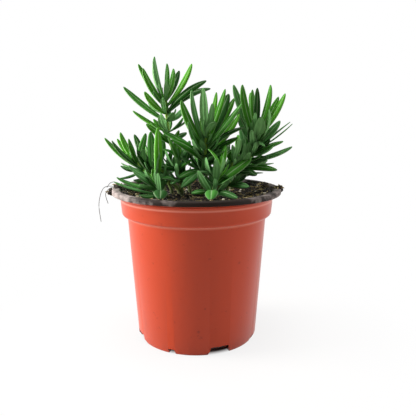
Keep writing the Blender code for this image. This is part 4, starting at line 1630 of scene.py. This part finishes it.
@dataclass
class Studio:
    """The camera, the white floor and the soft light, in metres.

    The floor shows as plain white by near_share beside the pot and by share_rise more with each metre.
    """

    camera_place: Place = (0.0081, -0.369, 0.165)
    camera_pitch: float = 79.1
    lens: float = 45.0
    sensor: float = 36.0
    nearest: float = 0.01
    floor_half: float = 3.0
    floor_colour: str = "#CFC8C3"
    floor_roughness: float = 0.9
    near_share: float = 0.8
    share_rise: float = 1.2
    foot_edge: float = 0.037
    foot_blur: float = 0.005
    room_light: float = 0.26
    front_dimming: float = 0.85
    lamps: tuple[SoftLamp, ...] = (
        SoftLamp("left_window", (-1.2, -0.04, 0.5), 0.7, 39.0),
        SoftLamp("right_reflector", (1.2, 0.05, 0.4), 0.9, 10.0),
        SoftLamp("top_lamp", (-0.1, -0.05, 1.2), 0.6, 10.0),
    )

    def camera(self) -> None:
        """Add the camera."""
        data = bpy.data.cameras.new("camera")
        data.lens = self.lens
        data.sensor_width = self.sensor
        data.clip_start = self.nearest
        data.dof.use_dof = False
        camera = in_scene("camera", data)
        camera.location = self.camera_place
        camera.rotation_euler = (math.radians(self.camera_pitch), 0.0, 0.0)
        bpy.context.scene.camera = camera

    def floor(self) -> None:
        """Add the floor, which is white to camera, glossy and transmission rays and keeps a faint shadow."""
        bm = bmesh.new()
        bmesh.ops.create_grid(bm, x_segments=1, y_segments=1, size=self.floor_half)
        mesh = mesh_from(bm, "studio_floor")
        material = bpy.data.materials.new("matt_white_paper")
        material.use_nodes = True
        tree = material.node_tree
        shader = tree.nodes["Principled BSDF"]
        connect(tree, shader, {
            "Base Color": linear(self.floor_colour), "Roughness": self.floor_roughness,
            "Specular IOR Level": 0.0})
        glow = add_node(tree, "ShaderNodeEmission", inputs={"Color": WHITE, "Strength": 1.0})
        place = add_node(tree, "ShaderNodeTexCoord").outputs["Object"]
        distance = add_node(tree, "ShaderNodeVectorMath", {"operation": "LENGTH"}, {0: place})
        rising = add_node(tree, "ShaderNodeMath", MULTIPLY_ADD, {
            0: distance, 1: self.share_rise, 2: self.near_share})
        cover = add_node(tree, "ShaderNodeMath", MINIMUM, {0: rising, 1: 1.0})
        clear = add_node(tree, "ShaderNodeMath", MULTIPLY_ADD | CLAMP, {
            0: distance, 1: 1.0 / self.foot_blur, 2: -self.foot_edge / self.foot_blur})
        cover = add_node(tree, "ShaderNodeMath", MULTIPLY, {0: cover, 1: clear})
        path = add_node(tree, "ShaderNodeLightPath").outputs
        seen = add_node(tree, "ShaderNodeMath", MAXIMUM, {0: path["Is Camera Ray"], 1: path["Is Glossy Ray"]})
        seen = add_node(tree, "ShaderNodeMath", MAXIMUM, {0: seen, 1: path["Is Transmission Ray"]})
        share = add_node(tree, "ShaderNodeMath", MULTIPLY, {0: seen, 1: cover})
        mixed = add_node(tree, "ShaderNodeMixShader", inputs={0: share, 1: shader, 2: glow})
        connect(tree, tree.nodes["Material Output"], {"Surface": mixed})
        mesh.materials.append(material)
        in_scene("studio_floor", mesh)

    def world(self) -> None:
        """Light the room softly, dimmer from the front, and show its walls as white."""
        world = bpy.data.worlds.new("white_room")
        bpy.context.scene.world = world
        world.use_nodes = True
        tree = world.node_tree
        path = add_node(tree, "ShaderNodeLightPath").outputs
        way = add_node(tree, "ShaderNodeTexCoord").outputs["Generated"]
        heading = add_node(tree, "ShaderNodeSeparateXYZ", inputs={0: way}).outputs[1]
        front = add_node(tree, "ShaderNodeMath", MULTIPLY | CLAMP, {0: heading, 1: -self.front_dimming})
        walls = add_node(tree, "ShaderNodeMath", SUBTRACT, {0: 1.0, 1: front})
        level = add_node(tree, "ShaderNodeMath", MAXIMUM, {0: path["Is Glossy Ray"], 1: self.room_light})
        light = add_node(tree, "ShaderNodeMath", MULTIPLY, {0: walls, 1: level})
        seen = add_node(tree, "ShaderNodeMath", MAXIMUM, {
            0: path["Is Camera Ray"], 1: path["Is Transmission Ray"]})
        strength = add_node(tree, "ShaderNodeMath", MAXIMUM, {0: light, 1: seen})
        connect(tree, tree.nodes["Background"], {"Color": WHITE, "Strength": strength})

    def build(self) -> None:
        """Build the studio."""
        self.camera()
        self.floor()
        self.world()
        for lamp in self.lamps:
            lamp.build()
        bpy.context.scene.view_settings.view_transform = "Standard"


def main() -> None:
    """Build the whole object around the frame."""
    logging.basicConfig(level=logging.INFO, format="%(name)s: %(message)s")
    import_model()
    Studio().build()
    finishes = make_finishes()
    for assembly in (Pot(), Soil(), RootHairs(), Greenery()):
        assembly.build(finishes)


if __name__ == "__main__":
    main()
